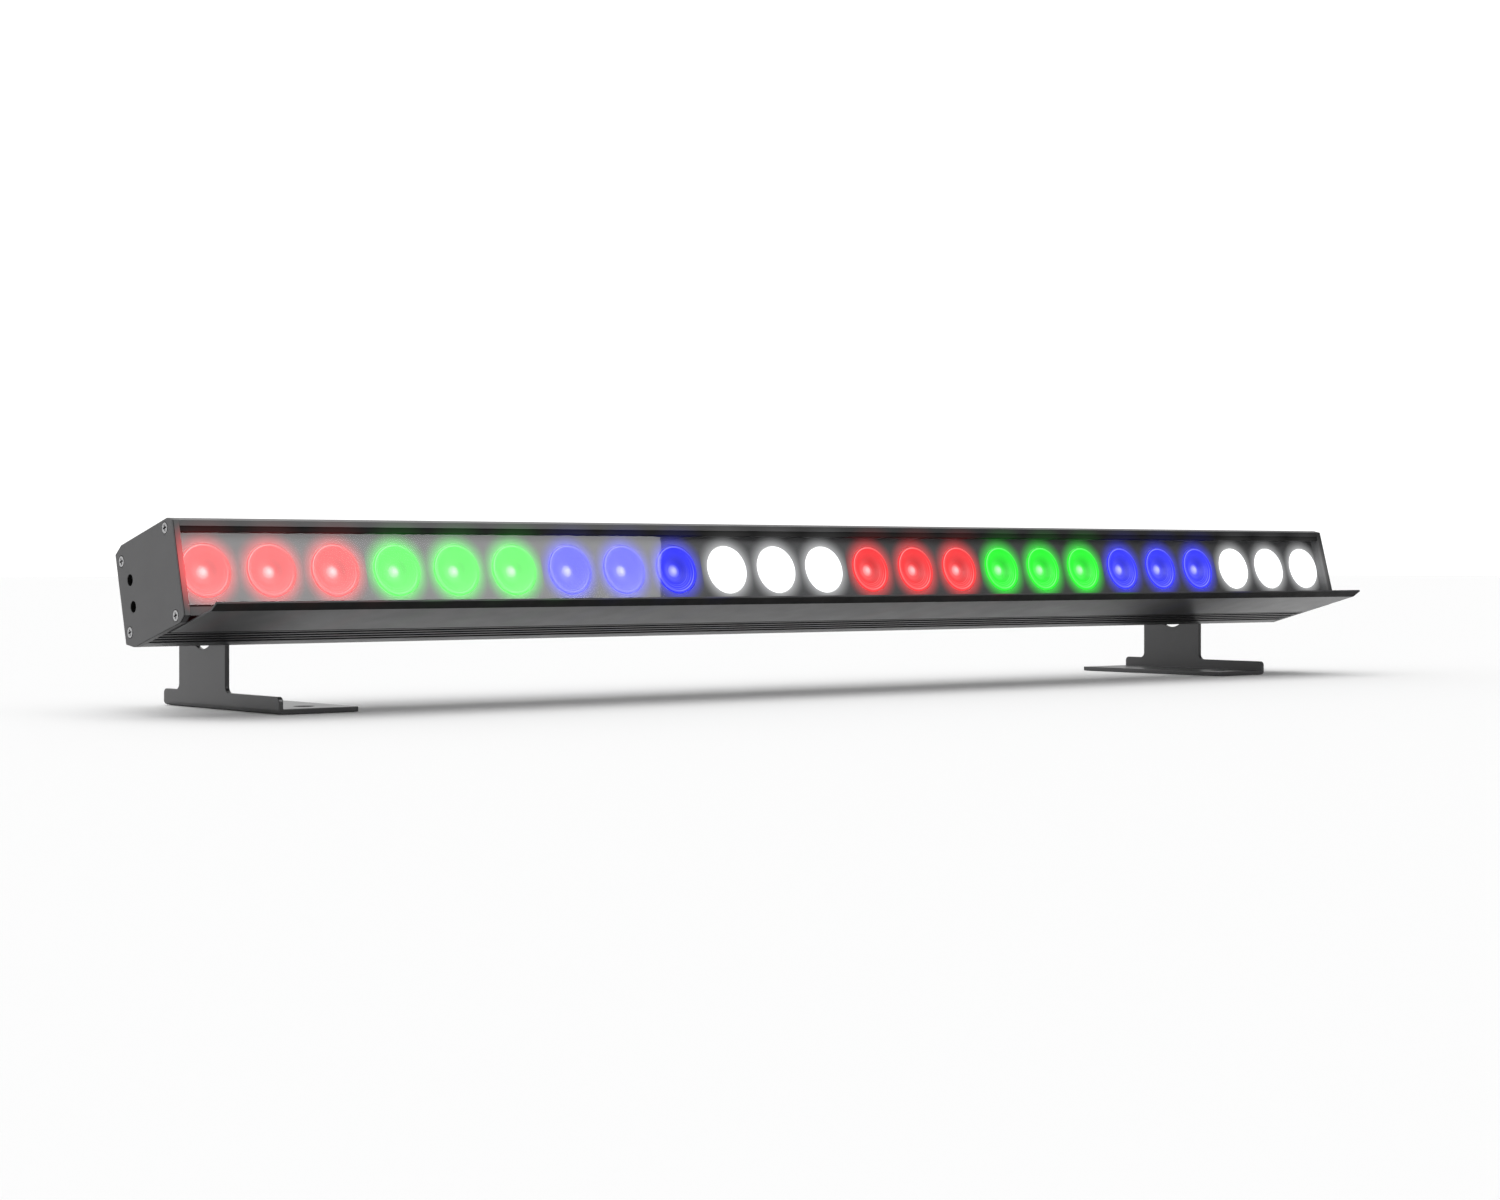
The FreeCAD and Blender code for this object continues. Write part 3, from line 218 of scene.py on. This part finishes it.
# features a metre of the uneven colour, uneven gloss and grain, and how strong each is
POWDER_COAT = {
    "colour_scale": 18, "colour_swing": (0.95, 1.05),
    "rough_scale": 60, "rough_swing": (-0.02, 0.02),
    "grain_scale": 1500, "grain_depth": 0.02 * MM,
}
MOULDED = {
    "colour_scale": 40, "colour_swing": (0.92, 1.08),
    "rough_scale": 90, "rough_swing": (-0.06, 0.06),
    "grain_scale": 2200, "grain_depth": 0.03 * MM,
}
METAL = {
    "colour_scale": 60, "colour_swing": (0.9, 1.05),
    "rough_scale": 120, "rough_swing": (-0.07, 0.08),
    "grain_scale": 900, "grain_depth": 0.02 * MM,
}


def finished(sheet, finish, colour, rough, stretch=None):
    """The sheet with a finish's uneven colour, uneven gloss and grain."""
    dark, pale = [shade(colour, swing) for swing in finish["colour_swing"]]
    low, high = [rough + swing for swing in finish["rough_swing"]]
    sheet.vary_colour(finish["colour_scale"], dark, pale, stretch)
    sheet.vary_roughness(finish["rough_scale"], low, high, stretch)
    sheet.bump(finish["grain_scale"], finish["grain_depth"], stretch)
    return sheet


def powder_coat(name, colour, rough, shine=0.5):
    """Satin powder coat: a fine orange-peel grain and slightly uneven gloss."""
    sheet = Sheet(name).set(IOR=1.5, Specular_IOR_Level=shine)
    return finished(sheet, POWDER_COAT, colour, rough)


def moulded(name, colour, rough, shine=0.5):
    """Moulded plastic or rubber; shine 0.5 reflects like any plastic, less is duller."""
    sheet = Sheet(name).set(IOR=1.47, Specular_IOR_Level=shine)
    return finished(sheet, MOULDED, colour, rough)


def metal(name, colour, rough, stretch=None):
    return finished(Sheet(name).set(Metallic=1.0), METAL, colour, rough, stretch)


# ---------------------------------------------------------------- light of the lit lenses

RED = (1.0, 0.05, 0.055)
GREEN = (0.025, 1.0, 0.035)
BLUE = (0.04, 0.045, 1.0)
WHITE = (1.5, 1.5, 1.5)
# the painted glow's colours zone by zone; its white is dimmer than the lit white lenses
WHITE_SPILL = (0.6, 0.6, 0.6)
SPILL_COLOURS = [RED, GREEN, BLUE, WHITE_SPILL]
LENS_RADIUS = 16 * MM
PLATE_FACE = 499.6 * MM
GLOW_DEPTH = 24 * MM


def glow_of_lenses(name, spill, power):
    """A node group: the coloured light a lit lens spills on what is that near to its rim, painted as glow
    for emission.
    """
    group = bpy.data.node_groups.new(name, "ShaderNodeTree")
    group.interface.new_socket("Light", in_out="OUTPUT", socket_type="NodeSocketColor")
    nodes = group.nodes
    maths = maths_in(group)
    position = nodes.new("ShaderNodeNewGeometry").outputs["Position"]

    def along(direction, start):
        return maths("SUBTRACT", dot_in(group, position, direction), start)

    steps = maths("DIVIDE", along(ALONG, -LENS_COUNT / 2 * LENS_PITCH), LENS_PITCH)
    off_x = maths("MULTIPLY", maths("SUBTRACT", maths("FRACT", steps), 0.5), LENS_PITCH)
    off_u = along(UP, MIDDLE_U)
    away = maths("SQRT", maths("ADD", maths("MULTIPLY", off_x, off_x), maths("MULTIPLY", off_u, off_u)))
    fading = ranged_in(group, away, (LENS_RADIUS, LENS_RADIUS + spill), (1, 0))
    # nothing glows on the end plates' outer faces or behind the lenses
    inboard = maths("LESS_THAN", maths("ABSOLUTE", along(ALONG, 0)), PLATE_FACE)
    in_front = maths("LESS_THAN", along(BACK, FACE_S), GLOW_DEPTH)
    strength = maths("MULTIPLY", maths("POWER", fading, power), maths("MULTIPLY", inboard, in_front))
    colours = nodes.new("ShaderNodeValToRGB")
    colours.color_ramp.interpolation = "CONSTANT"
    points = colours.color_ramp.elements
    while len(points) < len(SPILL_COLOURS):
        points.new(0.5)
    for index, colour in enumerate(SPILL_COLOURS):
        points[index].position = index / len(SPILL_COLOURS)
        points[index].color = (*colour, 1)
    zone = maths("FRACT", maths("DIVIDE", steps, PER_ZONE * len(SPILL_COLOURS)))
    group.links.new(zone, colours.inputs["Fac"])
    light = scaled_in(group, colours.outputs["Color"], strength)
    group.links.new(light, nodes.new("NodeGroupOutput").inputs["Light"])
    return group


# painted glow close round the lenses, and a wider painted glow reaching past them
NEAR_GLOW = glow_of_lenses("glow_near_lenses", 9 * MM, 1.8)
FAR_GLOW = glow_of_lenses("glow_past_lenses", 16 * MM, 1.6)


def glowing(sheet, glow, strength):
    """The sheet, with the light the lenses spill painted on as a glow in its emission."""
    group = sheet.node("ShaderNodeGroup")
    group.node_tree = glow
    sheet.link(group.outputs["Light"], sheet.shader.inputs["Emission Color"])
    return sheet.set(Emission_Strength=strength)


# places in a lens are 0 at its middle and 1 at its rim; an arc, painted into the lens's light, is its
# place, its width, the angle it faces in degrees, how short it is, and its brightness
# painted highlights: bright arcs added to the lens's light
LENS_HIGHLIGHT_ARCS = [
    (0.955, 0.035, 150, 1.5, 0.36), (0.885, 0.03, 300, 3, 0.30), (0.84, 0.025, 200, 4, 0.22),
    (0.79, 0.022, 300, 4, 0.18), (0.70, 0.03, 250, 3, 0.12), (0.62, 0.02, 285, 3, 0.10),
    (0.36, 0.2, 215, 1.5, 0.08),
]
# painted shade: the lens's light dimmed on one side
SHADED_ARC = (0.45, 0.35, 20, 1, 0.30)
LENS_LEVEL = 0.95
LENS_STRENGTH = 1.15
UNLIT_TINT = 0.08
# the mould rings as faint painted light bands, brighter towards one angle
GROOVE_WAVES = 95.0
GROOVE_LIGHT = 0.012
GROOVE_FACES = 250
CORE_STARTS = 0.33
CORE_FULL = 0.02
CORE_LIGHT = 0.52


def lit_lens(name, colour):
    """A lit collimator: even colour with painted shade on one side, a bright core, mould rings as painted
    light bands and painted highlight arcs on its rims.
    """
    sheet = Sheet(name).set(Base_Color=(*shade(colour, UNLIT_TINT), 1), Roughness=0.35, IOR=1.3)
    maths = maths_in(sheet.tree)
    parts = sheet.node("ShaderNodeSeparateXYZ")
    sheet.link(sheet.node("ShaderNodeTexCoord").outputs["UV"], parts.inputs["Vector"])
    radius = parts.outputs["X"]
    turn = parts.outputs["Y"]

    def facing(degrees, sharpness):
        """1 where the lens's angle is at these degrees, 0 opposite."""
        angle = maths("SUBTRACT", maths("MULTIPLY", turn, 2 * math.pi), math.radians(degrees))
        half = maths("ADD", maths("MULTIPLY", maths("COSINE", angle), 0.5), 0.5)
        return maths("POWER", half, sharpness)

    def ring(place, width):
        """1 at this place, 0 a width away from it."""
        off = maths("DIVIDE", maths("ABSOLUTE", maths("SUBTRACT", radius, place)), width)
        return maths("MAXIMUM", maths("SUBTRACT", 1.0, off), 0.0)

    def arc(place, width, degrees, sharpness, height):
        return maths("MULTIPLY", maths("MULTIPLY", ring(place, width), facing(degrees, sharpness)), height)

    highlights = ranged_in(sheet.tree, radius, (CORE_STARTS, CORE_FULL), (0, CORE_LIGHT), smooth=True)
    for measures in LENS_HIGHLIGHT_ARCS:
        highlights = maths("ADD", highlights, arc(*measures))
    grooves = maths("MULTIPLY", maths("SINE", maths("MULTIPLY", radius, GROOVE_WAVES)), GROOVE_LIGHT)
    highlights = maths("ADD", highlights, maths("MULTIPLY", grooves, facing(GROOVE_FACES, 1)))
    level = maths("SUBTRACT", LENS_LEVEL, arc(*SHADED_ARC))
    total = sheet.node("ShaderNodeVectorMath", operation="ADD")
    sheet.link(scaled_in(sheet.tree, colour, level), total.inputs[0])
    sheet.link(highlights, total.inputs[1])
    sheet.link(total.outputs["Vector"], sheet.shader.inputs["Emission Color"])
    return sheet.set(Emission_Strength=LENS_STRENGTH)


PANE_TINT = (0.96, 0.965, 0.97, 1)
PANE_ROUGHNESS = 0.015
ACRYLIC_IOR = 1.49


def clear_window():
    """Polished acrylic: what is behind it shows, with a sharp reflection over it."""
    sheet = Sheet("clear_window")
    sheet.tree.nodes.remove(sheet.shader)
    maths = maths_in(sheet.tree)
    through = sheet.node("ShaderNodeBsdfTransparent")
    through.inputs["Color"].default_value = PANE_TINT
    mirror = sheet.node("ShaderNodeBsdfGlossy")
    mirror.inputs["Roughness"].default_value = PANE_ROUGHNESS
    fresnel = sheet.node("ShaderNodeFresnel")
    fresnel.inputs["IOR"].default_value = ACRYLIC_IOR
    # a face seen from inside the pane reflects nothing, so the pane reflects once
    outside = maths("SUBTRACT", 1.0, sheet.node("ShaderNodeNewGeometry").outputs["Backfacing"])
    mix = sheet.node("ShaderNodeMixShader")
    sheet.link(maths("MULTIPLY", fresnel.outputs["Fac"], outside), mix.inputs["Fac"])
    sheet.link(through.outputs["BSDF"], mix.inputs[1])
    sheet.link(mirror.outputs["BSDF"], mix.inputs[2])
    sheet.link(mix.outputs["Shader"], sheet.tree.nodes["Material Output"].inputs["Surface"])
    return sheet


# housing, end plates, shield, seal and lens plate carry the lenses' painted glow in their emission
PAINTS = {
    "housing": glowing(powder_coat("housing_coat", (0.018, 0.018, 0.019), 0.34, 0.33), FAR_GLOW, 0.12),
    "end_plate": glowing(powder_coat("end_plate_coat", (0.068, 0.068, 0.070), 0.48), FAR_GLOW, 0.20),
    "bracket": powder_coat("bracket_coat", (0.052, 0.052, 0.054), 0.30),
    "shield": glowing(powder_coat("shield_coat", (0.030, 0.030, 0.032), 0.33), FAR_GLOW, 0.30),
    "black_screw": metal("black_screw_steel", (0.42, 0.42, 0.425), 0.34),
    "steel": metal("zinc_steel", (0.62, 0.62, 0.60), 0.28),
    "window": clear_window(),
    # also worn by the black sheets of painted shade on the shield's lip and in the rigging holes
    "seal": glowing(moulded("seal_rubber_and_painted_shade", (0.006, 0.006, 0.006), 0.6, 0.12), FAR_GLOW, 0.06),
    "lens_plate": glowing(moulded("lens_plate_plastic", (0.075, 0.074, 0.075), 0.42), NEAR_GLOW, 0.65),
    "white_plastic": moulded("white_nylon", (0.75, 0.75, 0.73), 0.4),
    "emitter": moulded("emitter_package", (0.85, 0.82, 0.6), 0.3),
    "bright_aluminium": metal("plain_aluminium", (0.75, 0.75, 0.76), 0.35, (1, 12, 12)),
    "board": moulded("green_solder_mask", (0.02, 0.16, 0.06), 0.35),
    "white_board": moulded("white_solder_mask", (0.8, 0.8, 0.79), 0.35),
    "display": moulded("smoked_display", (0.008, 0.010, 0.014), 0.12),
    "blue_plastic": moulded("blue_socket_plastic", (0.02, 0.09, 0.42), 0.35),
    "grey_plastic": moulded("grey_socket_plastic", (0.42, 0.43, 0.45), 0.35),
    "connector_metal": powder_coat("connector_coat", (0.03, 0.03, 0.032), 0.35),
    "black_plastic": moulded("black_plastic", (0.02, 0.02, 0.021), 0.42),
    "fuse_glass": moulded("fuse_tube_glass", (0.8, 0.85, 0.85), 0.12),
    "cable": moulded("cable_jacket", (0.02, 0.02, 0.02), 0.5),
    "nylon": moulded("black_nylon", (0.03, 0.03, 0.03), 0.45),
    "button": moulded("silicone_button", (0.045, 0.045, 0.05), 0.55),
    "lens_red": lit_lens("lit_red_lens", RED),
    "lens_green": lit_lens("lit_green_lens", GREEN),
    "lens_blue": lit_lens("lit_blue_lens", BLUE),
    "lens_white": lit_lens("lit_white_lens", WHITE),
}


def paint(piece, slot):
    piece.data.materials.clear()
    piece.data.materials.append(PAINTS[slot].material)


for node_name, node in NODES.items():
    paint(node, SLOT_OF[node_name])


# ---------------------------------------------------------------- mesh helpers

def new_piece(name, body, slot, mesh_code):
    """A piece from a function that fills a bmesh, in row-frame metres."""
    shape = bmesh.new()
    mesh_code(shape)
    data = bpy.data.meshes.new(name)
    shape.to_mesh(data)
    shape.free()
    piece = bpy.data.objects.new(name, data)
    bpy.context.scene.collection.objects.link(piece)
    paint(piece, slot)
    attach(piece, body)
    return piece


def turns(count):
    """The angles of so many even steps round a circle."""
    return [2 * math.pi * step / count for step in range(count)]


def bridge(shape, ring, other):
    """Faces that join one closed ring of vertices to another."""
    for step in range(len(ring)):
        after = (step + 1) % len(ring)
        shape.faces.new([ring[step], ring[after], other[after], other[step]])


def hoop(shape, rings):
    """A band through rings of vertices, the last ring joined to the first."""
    for index, ring in enumerate(rings):
        bridge(shape, ring, rings[(index + 1) % len(rings)])


WELD_WITHIN = 1e-6
FLAT_WITHIN = math.radians(1.5)
SHARP_PAST = math.radians(32)


def softened(node, body, width):
    """A CAD part with its sharp edges rounded, standing for the plain one."""
    slot = SLOT_OF[node]
    source = NODES[node].data

    def rounded(shape):
        shape.from_mesh(source)
        bmesh.ops.remove_doubles(shape, verts=shape.verts, dist=WELD_WITHIN)
        bmesh.ops.dissolve_limit(shape, angle_limit=FLAT_WITHIN, verts=shape.verts,
                                 edges=shape.edges, use_dissolve_boundaries=False)
        for face in shape.faces:
            face.smooth = True

    piece = new_piece(f"{node}_shell", body, slot, rounded)
    bevel = piece.modifiers.new("edges", "BEVEL")
    bevel.width = width
    bevel.segments = 2
    bevel.limit_method = "ANGLE"
    bevel.angle_limit = SHARP_PAST
    bevel.miter_outer = "MITER_ARC"
    weighted = piece.modifiers.new("flat_faces", "WEIGHTED_NORMAL")
    weighted.weight = 100
    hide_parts(node)


# ---------------------------------------------------------------- lenses

LENS_FRONT = 6.6 * MM
LENS_TURNS = 64
# (radius, depth behind the lens's front) in mm: back cone, rounded rim, stepped bowl, core dome
LENS_PROFILE = [
    (6.5, 14.0), (15.2, 2.3), (15.6, 1.6), (15.6, 0.5), (15.4, 0.12), (15.1, 0.0), (14.8, 0.05),
    (14.5, 0.35), (14.3, 0.9), (13.0, 1.2), (12.8, 1.5), (10.6, 2.2), (8.4, 2.9), (6.4, 3.6),
    (4.8, 4.2), (3.4, 4.7), (2.9, 4.5), (2.2, 3.9), (1.4, 3.6), (0.6, 3.5),
]
BACK_DEPTH = LENS_PROFILE[0][1]
TIP_DEPTH = LENS_PROFILE[-1][1] - 0.03
ZONE_SLOTS = ["lens_red", "lens_green", "lens_blue", "lens_white"]


def lens_surface(shape, number):
    """One lens turned about its axis, with (place from 0 to 1, angle) as its UV."""
    uv = shape.loops.layers.uv.verify()
    middle = lens_middle(number)
    rings = []
    for radius, depth in LENS_PROFILE:
        ring = []
        for turn in turns(LENS_TURNS):
            across = radius * MM * math.cos(turn)
            rise = radius * MM * math.sin(turn)
            ring.append(shape.verts.new(at(middle + across, LENS_FRONT + depth * MM, rise)))
        rings.append(ring)
    tip = shape.verts.new(at(middle, LENS_FRONT + TIP_DEPTH * MM, 0))
    back = shape.verts.new(at(middle, LENS_FRONT + BACK_DEPTH * MM, 0))
    rim = max(radius for radius, _ in LENS_PROFILE)
    places = [radius / rim for radius, _ in LENS_PROFILE]

    def skin(corners, spots):
        face = shape.faces.new(corners)
        face.smooth = True
        for loop, spot in zip(face.loops, spots):
            loop[uv].uv = spot

    steps = [(step, (step + 1) % LENS_TURNS, step / LENS_TURNS) for step in range(LENS_TURNS)]
    for index in range(len(rings) - 1):
        ring = rings[index]
        other = rings[index + 1]
        place = places[index]
        next_place = places[index + 1]
        for step, after, turn in steps:
            next_turn = (step + 1) / LENS_TURNS
            skin([ring[step], ring[after], other[after], other[step]],
                 [(place, turn), (place, next_turn), (next_place, next_turn), (next_place, turn)])
    for step, after, turn in steps:
        skin([rings[-1][step], rings[-1][after], tip], [(places[-1], turn), (places[-1], turn), (0, turn)])
        skin([rings[0][after], rings[0][step], back], [(1, turn), (1, turn), (1, turn)])


def lens_zones():
    for zone in range(LENS_COUNT // PER_ZONE):
        numbers = range(zone * PER_ZONE + 1, (zone + 1) * PER_ZONE + 1)

        def lenses(shape):
            for number in numbers:
                lens_surface(shape, number)

        slot = ZONE_SLOTS[zone % len(ZONE_SLOTS)]
        piece = new_piece(f"zone_{zone + 1}_lens_set", "housing", slot, lenses)
        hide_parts(f"zone_{zone + 1}_lenses")


lens_zones()

# ---------------------------------------------------------------- seams of the end plates

# each band's ends along the batten and how far it stands proud, in mm, and its slot
SEAM_BANDS = {"seam": (499.0, 499.4, 0.04, "seal"), "edge_band": (495.7, 499.0, 0.03, "housing")}
BAND_SUNK = 0.2 * MM
EDGE_COLOUR = (0.022, 0.022, 0.023)
EDGE_ROUGHNESS = 0.36
EDGE_SHINE = 0.4
# painted glow on the end plates' edge bands, much stronger on the left end
EDGE_GLOW = {"left": 0.9, "right": 0.2}


def turn_of(first, second, third):
    """Above 0 where three points turn anticlockwise, below 0 where they turn clockwise."""
    return ((second[0] - first[0]) * (third[1] - first[1])
            - (second[1] - first[1]) * (third[0] - first[0]))


def hull(points):
    """The convex outline of sorted points, anticlockwise."""
    def half(ordered):
        kept = []
        for point in ordered:
            while len(kept) > 1 and turn_of(kept[-2], kept[-1], point) <= 1e-9:
                kept.pop()
            kept.append(point)
        return kept[:-1]

    return half(points) + half(points[::-1])


def plate_outline(node):
    """The (s, u) corners of an end plate's outline, in order round it."""
    points = {(round(v.co.dot(BACK) - FACE_S, 5), round(v.co.dot(UP) - MIDDLE_U, 5))
              for v in NODES[node].data.vertices}
    return hull(sorted(points))


def grown(outline, distance):
    """The outline moved outwards by a distance, its corners kept sharp."""
    moved = []
    for index, corner in enumerate(outline):
        before = Vector(corner) - Vector(outline[index - 1])
        after = Vector(outline[(index + 1) % len(outline)]) - Vector(corner)
        first = Vector((before.y, -before.x)).normalized()
        second = Vector((after.y, -after.x)).normalized()
        bisector = (first + second).normalized()
        moved.append(Vector(corner) + bisector * (distance / bisector.dot(first)))
    return moved


def seam_band(side, low, high, proud):
    """A function that makes a thin band round an end plate, standing just proud of it."""
    outline = plate_outline(f"end_plate_{side}")
    outer = grown(outline, proud * MM)
    inner = grown(outline, -BAND_SUNK)

    def wrap(shape):
        rings = []
        for x, ring in ((low, inner), (low, outer), (high, outer), (high, inner)):
            rings.append([shape.verts.new(at(SIDES[side] * x * MM, s, u)) for s, u in ring])
        hoop(shape, rings)
        bmesh.ops.recalc_face_normals(shape, faces=shape.faces)

    return wrap


def seam_bands():
    for side in SIDES:
        for band, (low, high, proud, slot) in SEAM_BANDS.items():
            wrap = seam_band(side, low, high, proud)
            piece = new_piece(f"end_plate_{band}_{side}", "housing", slot, wrap)
            if band == "edge_band":
                coat = powder_coat(f"edge_band_coat_{side}", EDGE_COLOUR, EDGE_ROUGHNESS, EDGE_SHINE)
                piece.data.materials[0] = glowing(coat, FAR_GLOW, EDGE_GLOW[side]).material


seam_bands()

# ---------------------------------------------------------------- the shield's lip

# (s, u) of the lip's lower face, from its fold to its tip
LIP_BACK = Vector((-22.4 * MM, -30.8 * MM))
LIP_TIP = Vector((-29.62 * MM, -28.36 * MM))
LIP_PROUD = 0.04 * MM
LIP_INSET = 0.3 * MM


def lip_painted_shade(shape):
    """A black strip of painted shade on the lower face of the shield's turned-up lip."""
    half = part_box("glare_shield")[1].x - LIP_INSET
    along = (LIP_TIP - LIP_BACK).normalized()
    down = Vector((-along.y, along.x)) * LIP_PROUD
    section = [LIP_BACK, LIP_BACK + down, LIP_TIP + down, LIP_TIP]
    ends = [[shape.verts.new(at(x, s, u)) for s, u in section] for x in (-half, half)]
    bridge(shape, *ends)
    for end in ends:
        shape.faces.new(end)
    bmesh.ops.recalc_face_normals(shape, faces=shape.faces)


# painted shade: a black sheet laid on the lip, where it lies only in shade
new_piece("shield_lip_strip", "shield", "seal", lip_painted_shade)

# ---------------------------------------------------------------- painted shade in the rigging holes

RIG_S = 57.8 * MM
RIG_U = 7.85 * MM
# sizes of the black tubes of painted shade inside the rigging holes
SHADE_TUBE_OUTER = 3.4 * MM
SHADE_TUBE_INNER = 3.25 * MM
SHADE_TUBE_MOUTH = 499.7 * MM
SHADE_TUBE_END = 490 * MM
SHADE_TUBE_TURNS = 32


def circle(shape, x, middle_u, radius):
    """A ring of vertices round a rigging hole's axis."""
    return [shape.verts.new(at(x, RIG_S + radius * math.cos(turn), middle_u + radius * math.sin(turn)))
            for turn in turns(SHADE_TUBE_TURNS)]


def rig_hole_shade_tubes(side):
    """A function that makes black tubes of painted shade in one end plate's two rigging holes."""
    def tubes(shape):
        for middle_u in (-RIG_U, RIG_U):
            rings = []
            for x, radius in ((SHADE_TUBE_MOUTH, SHADE_TUBE_OUTER), (SHADE_TUBE_MOUTH, SHADE_TUBE_INNER),
                              (SHADE_TUBE_END, SHADE_TUBE_INNER), (SHADE_TUBE_END, SHADE_TUBE_OUTER)):
                rings.append(circle(shape, side * x, middle_u, radius))
            hoop(shape, rings)
            # a disc closes the far end
            shape.faces.new(rings[2])
        bmesh.ops.recalc_face_normals(shape, faces=shape.faces)

    return tubes


for side_name, side_sign in SIDES.items():
    # painted shade: black tubes inside the rigging holes
    new_piece(f"rig_hole_painted_shade_{side_name}", "housing", "seal", rig_hole_shade_tubes(side_sign))

# ---------------------------------------------------------------- rounded CAD parts

# how wide each node's rounded edges are, in mm, under the body it rides on
ROUNDED = {
    "housing": {
        "housing_extrusion": 0.35, "end_plate_left": 0.35, "end_plate_right": 0.35,
        "end_plate_screws": 0.12, "rear_panel": 0.3, "power_in_connector": 0.3,
        "power_out_connector": 0.3, "dmx_in_connector": 0.3, "dmx_out_connector": 0.3,
        "pivot_tab_left": 0.4, "pivot_tab_right": 0.4, "safety_eye": 0.3, "tab_screws": 0.15,
        "rear_panel_screws": 0.12, "pivot_stud_left": 0.3, "pivot_stud_right": 0.3,
    },
    "shield": {"glare_shield": 0.3},
    "bracket_left": {"bracket_left": 0.4},
    "bracket_right": {"bracket_right": 0.4},
    "knob_left": {"tilt_knob_left": 0.9},
    "knob_right": {"tilt_knob_right": 0.9},
    "fuse_cap": {"fuse_cap": 0.4},
    "dmx_out_latch": {"dmx_out_latch": 0.4},
}
for body_name, widths in ROUNDED.items():
    for node_name, width in widths.items():
        softened(node_name, body_name, width * MM)


# ---------------------------------------------------------------- floor, light and camera

FLOOR_HALF = 14
FLOOR_DROP = 0.3 * MM
FLOOR_COLOUR = (0.9, 0.9, 0.9, 1)


def floor():
    data = bpy.data.meshes.new("studio_floor")
    corners = [(-FLOOR_HALF, -FLOOR_HALF, 0), (FLOOR_HALF, -FLOOR_HALF, 0),
               (FLOOR_HALF, FLOOR_HALF, 0), (-FLOOR_HALF, FLOOR_HALF, 0)]
    data.from_pydata(corners, [], [(0, 1, 2, 3)])
    piece = bpy.data.objects.new("studio_floor", data)
    bpy.context.scene.collection.objects.link(piece)
    piece.location.z = -FLOOR_DROP
    sheet = Sheet("studio_floor").set(Base_Color=FLOOR_COLOUR, Roughness=0.9, Specular_IOR_Level=0.0)
    piece.data.materials.append(sheet.material)


PANEL_AWAY = 1.4
PANEL_LEFT = 0.10
PANEL_RIGHT = 0.91
PANEL_TALL = 0.8
PANEL_LIGHT = 5.3
PANEL_TILT = math.radians(30)
WINDOW_Y = -0.055
WINDOW_Z = 0.08


def window_softbox():
    """The softbox, parallel to the batten, whose sharp right edge shows in the window."""
    lamp = bpy.data.lights.new("window_softbox", "AREA")
    lamp.shape = "RECTANGLE"
    lamp.size = PANEL_RIGHT - PANEL_LEFT
    lamp.size_y = PANEL_TALL
    lamp.energy = PANEL_LIGHT * math.pi * lamp.size * lamp.size_y
    thing = bpy.data.objects.new("window_softbox", lamp)
    bpy.context.scene.collection.objects.link(thing)
    thing.location = ((PANEL_LEFT + PANEL_RIGHT) / 2,
                      WINDOW_Y - PANEL_AWAY * math.cos(PANEL_TILT),
                      WINDOW_Z + PANEL_AWAY * math.sin(PANEL_TILT))
    thing.rotation_euler = (math.radians(90) - PANEL_TILT, 0, 0)
    # only reflections show it
    thing.visible_diffuse = False


# how bright the sky's parts are, and where each one's edge fades, as a dot product with its way
FRONT = 0.16
BEHIND = 1.0
BEHIND_WAY = (-0.5, 0.866, 0)
BEHIND_FADE = (-0.35, 0.6)
ZENITH = 1.54
ZENITH_FADE = (0.66, 0.92)
AHEAD = 1.93
AHEAD_WAY = (0, -0.6, 0.8)
AHEAD_FADE = (0.80, 0.97)
BACKDROP = 1.2


def world():
    """White to the camera. To the rest, a dim front, a pale back, and a bright top and upper front."""
    sky = bpy.data.worlds.new("studio")
    sky.use_nodes = True
    tree = sky.node_tree
    background = tree.nodes["Background"]

    def mix(factor, first, second):
        blend = tree.nodes.new("ShaderNodeMix")
        for name, value in (("Factor", factor), ("A", first), ("B", second)):
            feed(tree, value, blend.inputs[name])
        return blend.outputs["Result"]

    def fade(value, edge):
        return ranged_in(tree, value, edge, (0, 1), smooth=True)

    way = tree.nodes.new("ShaderNodeTexCoord").outputs["Generated"]
    parts = tree.nodes.new("ShaderNodeSeparateXYZ")
    tree.links.new(way, parts.inputs["Vector"])
    studio = mix(fade(dot_in(tree, way, BEHIND_WAY), BEHIND_FADE), FRONT, BEHIND)
    studio = mix(fade(parts.outputs["Z"], ZENITH_FADE), studio, ZENITH)
    studio = mix(fade(dot_in(tree, way, AHEAD_WAY), AHEAD_FADE), studio, AHEAD)
    seen = mix(tree.nodes.new("ShaderNodeLightPath").outputs["Is Camera Ray"], studio, BACKDROP)
    tree.links.new(seen, background.inputs["Strength"])
    background.inputs["Color"].default_value = (1, 1, 1, 1)
    bpy.context.scene.world = sky


CAMERA_PLACE = (-1.1870, -1.3906, 0.0868)
CAMERA_YAW = 39.41
CAMERA_LENS = 63.75
CAMERA_SENSOR = 36
CAMERA_SHIFT = -0.02495


def camera():
    data = bpy.data.cameras.new("camera")
    data.lens = CAMERA_LENS
    data.sensor_width = CAMERA_SENSOR
    data.shift_y = CAMERA_SHIFT
    thing = bpy.data.objects.new("camera", data)
    thing.location = CAMERA_PLACE
    thing.rotation_euler = (math.radians(90), 0, -math.radians(CAMERA_YAW))
    bpy.context.scene.collection.objects.link(thing)
    bpy.context.scene.camera = thing


floor()
world()
camera()
window_softbox()
bpy.context.scene.view_settings.view_transform = "Standard"
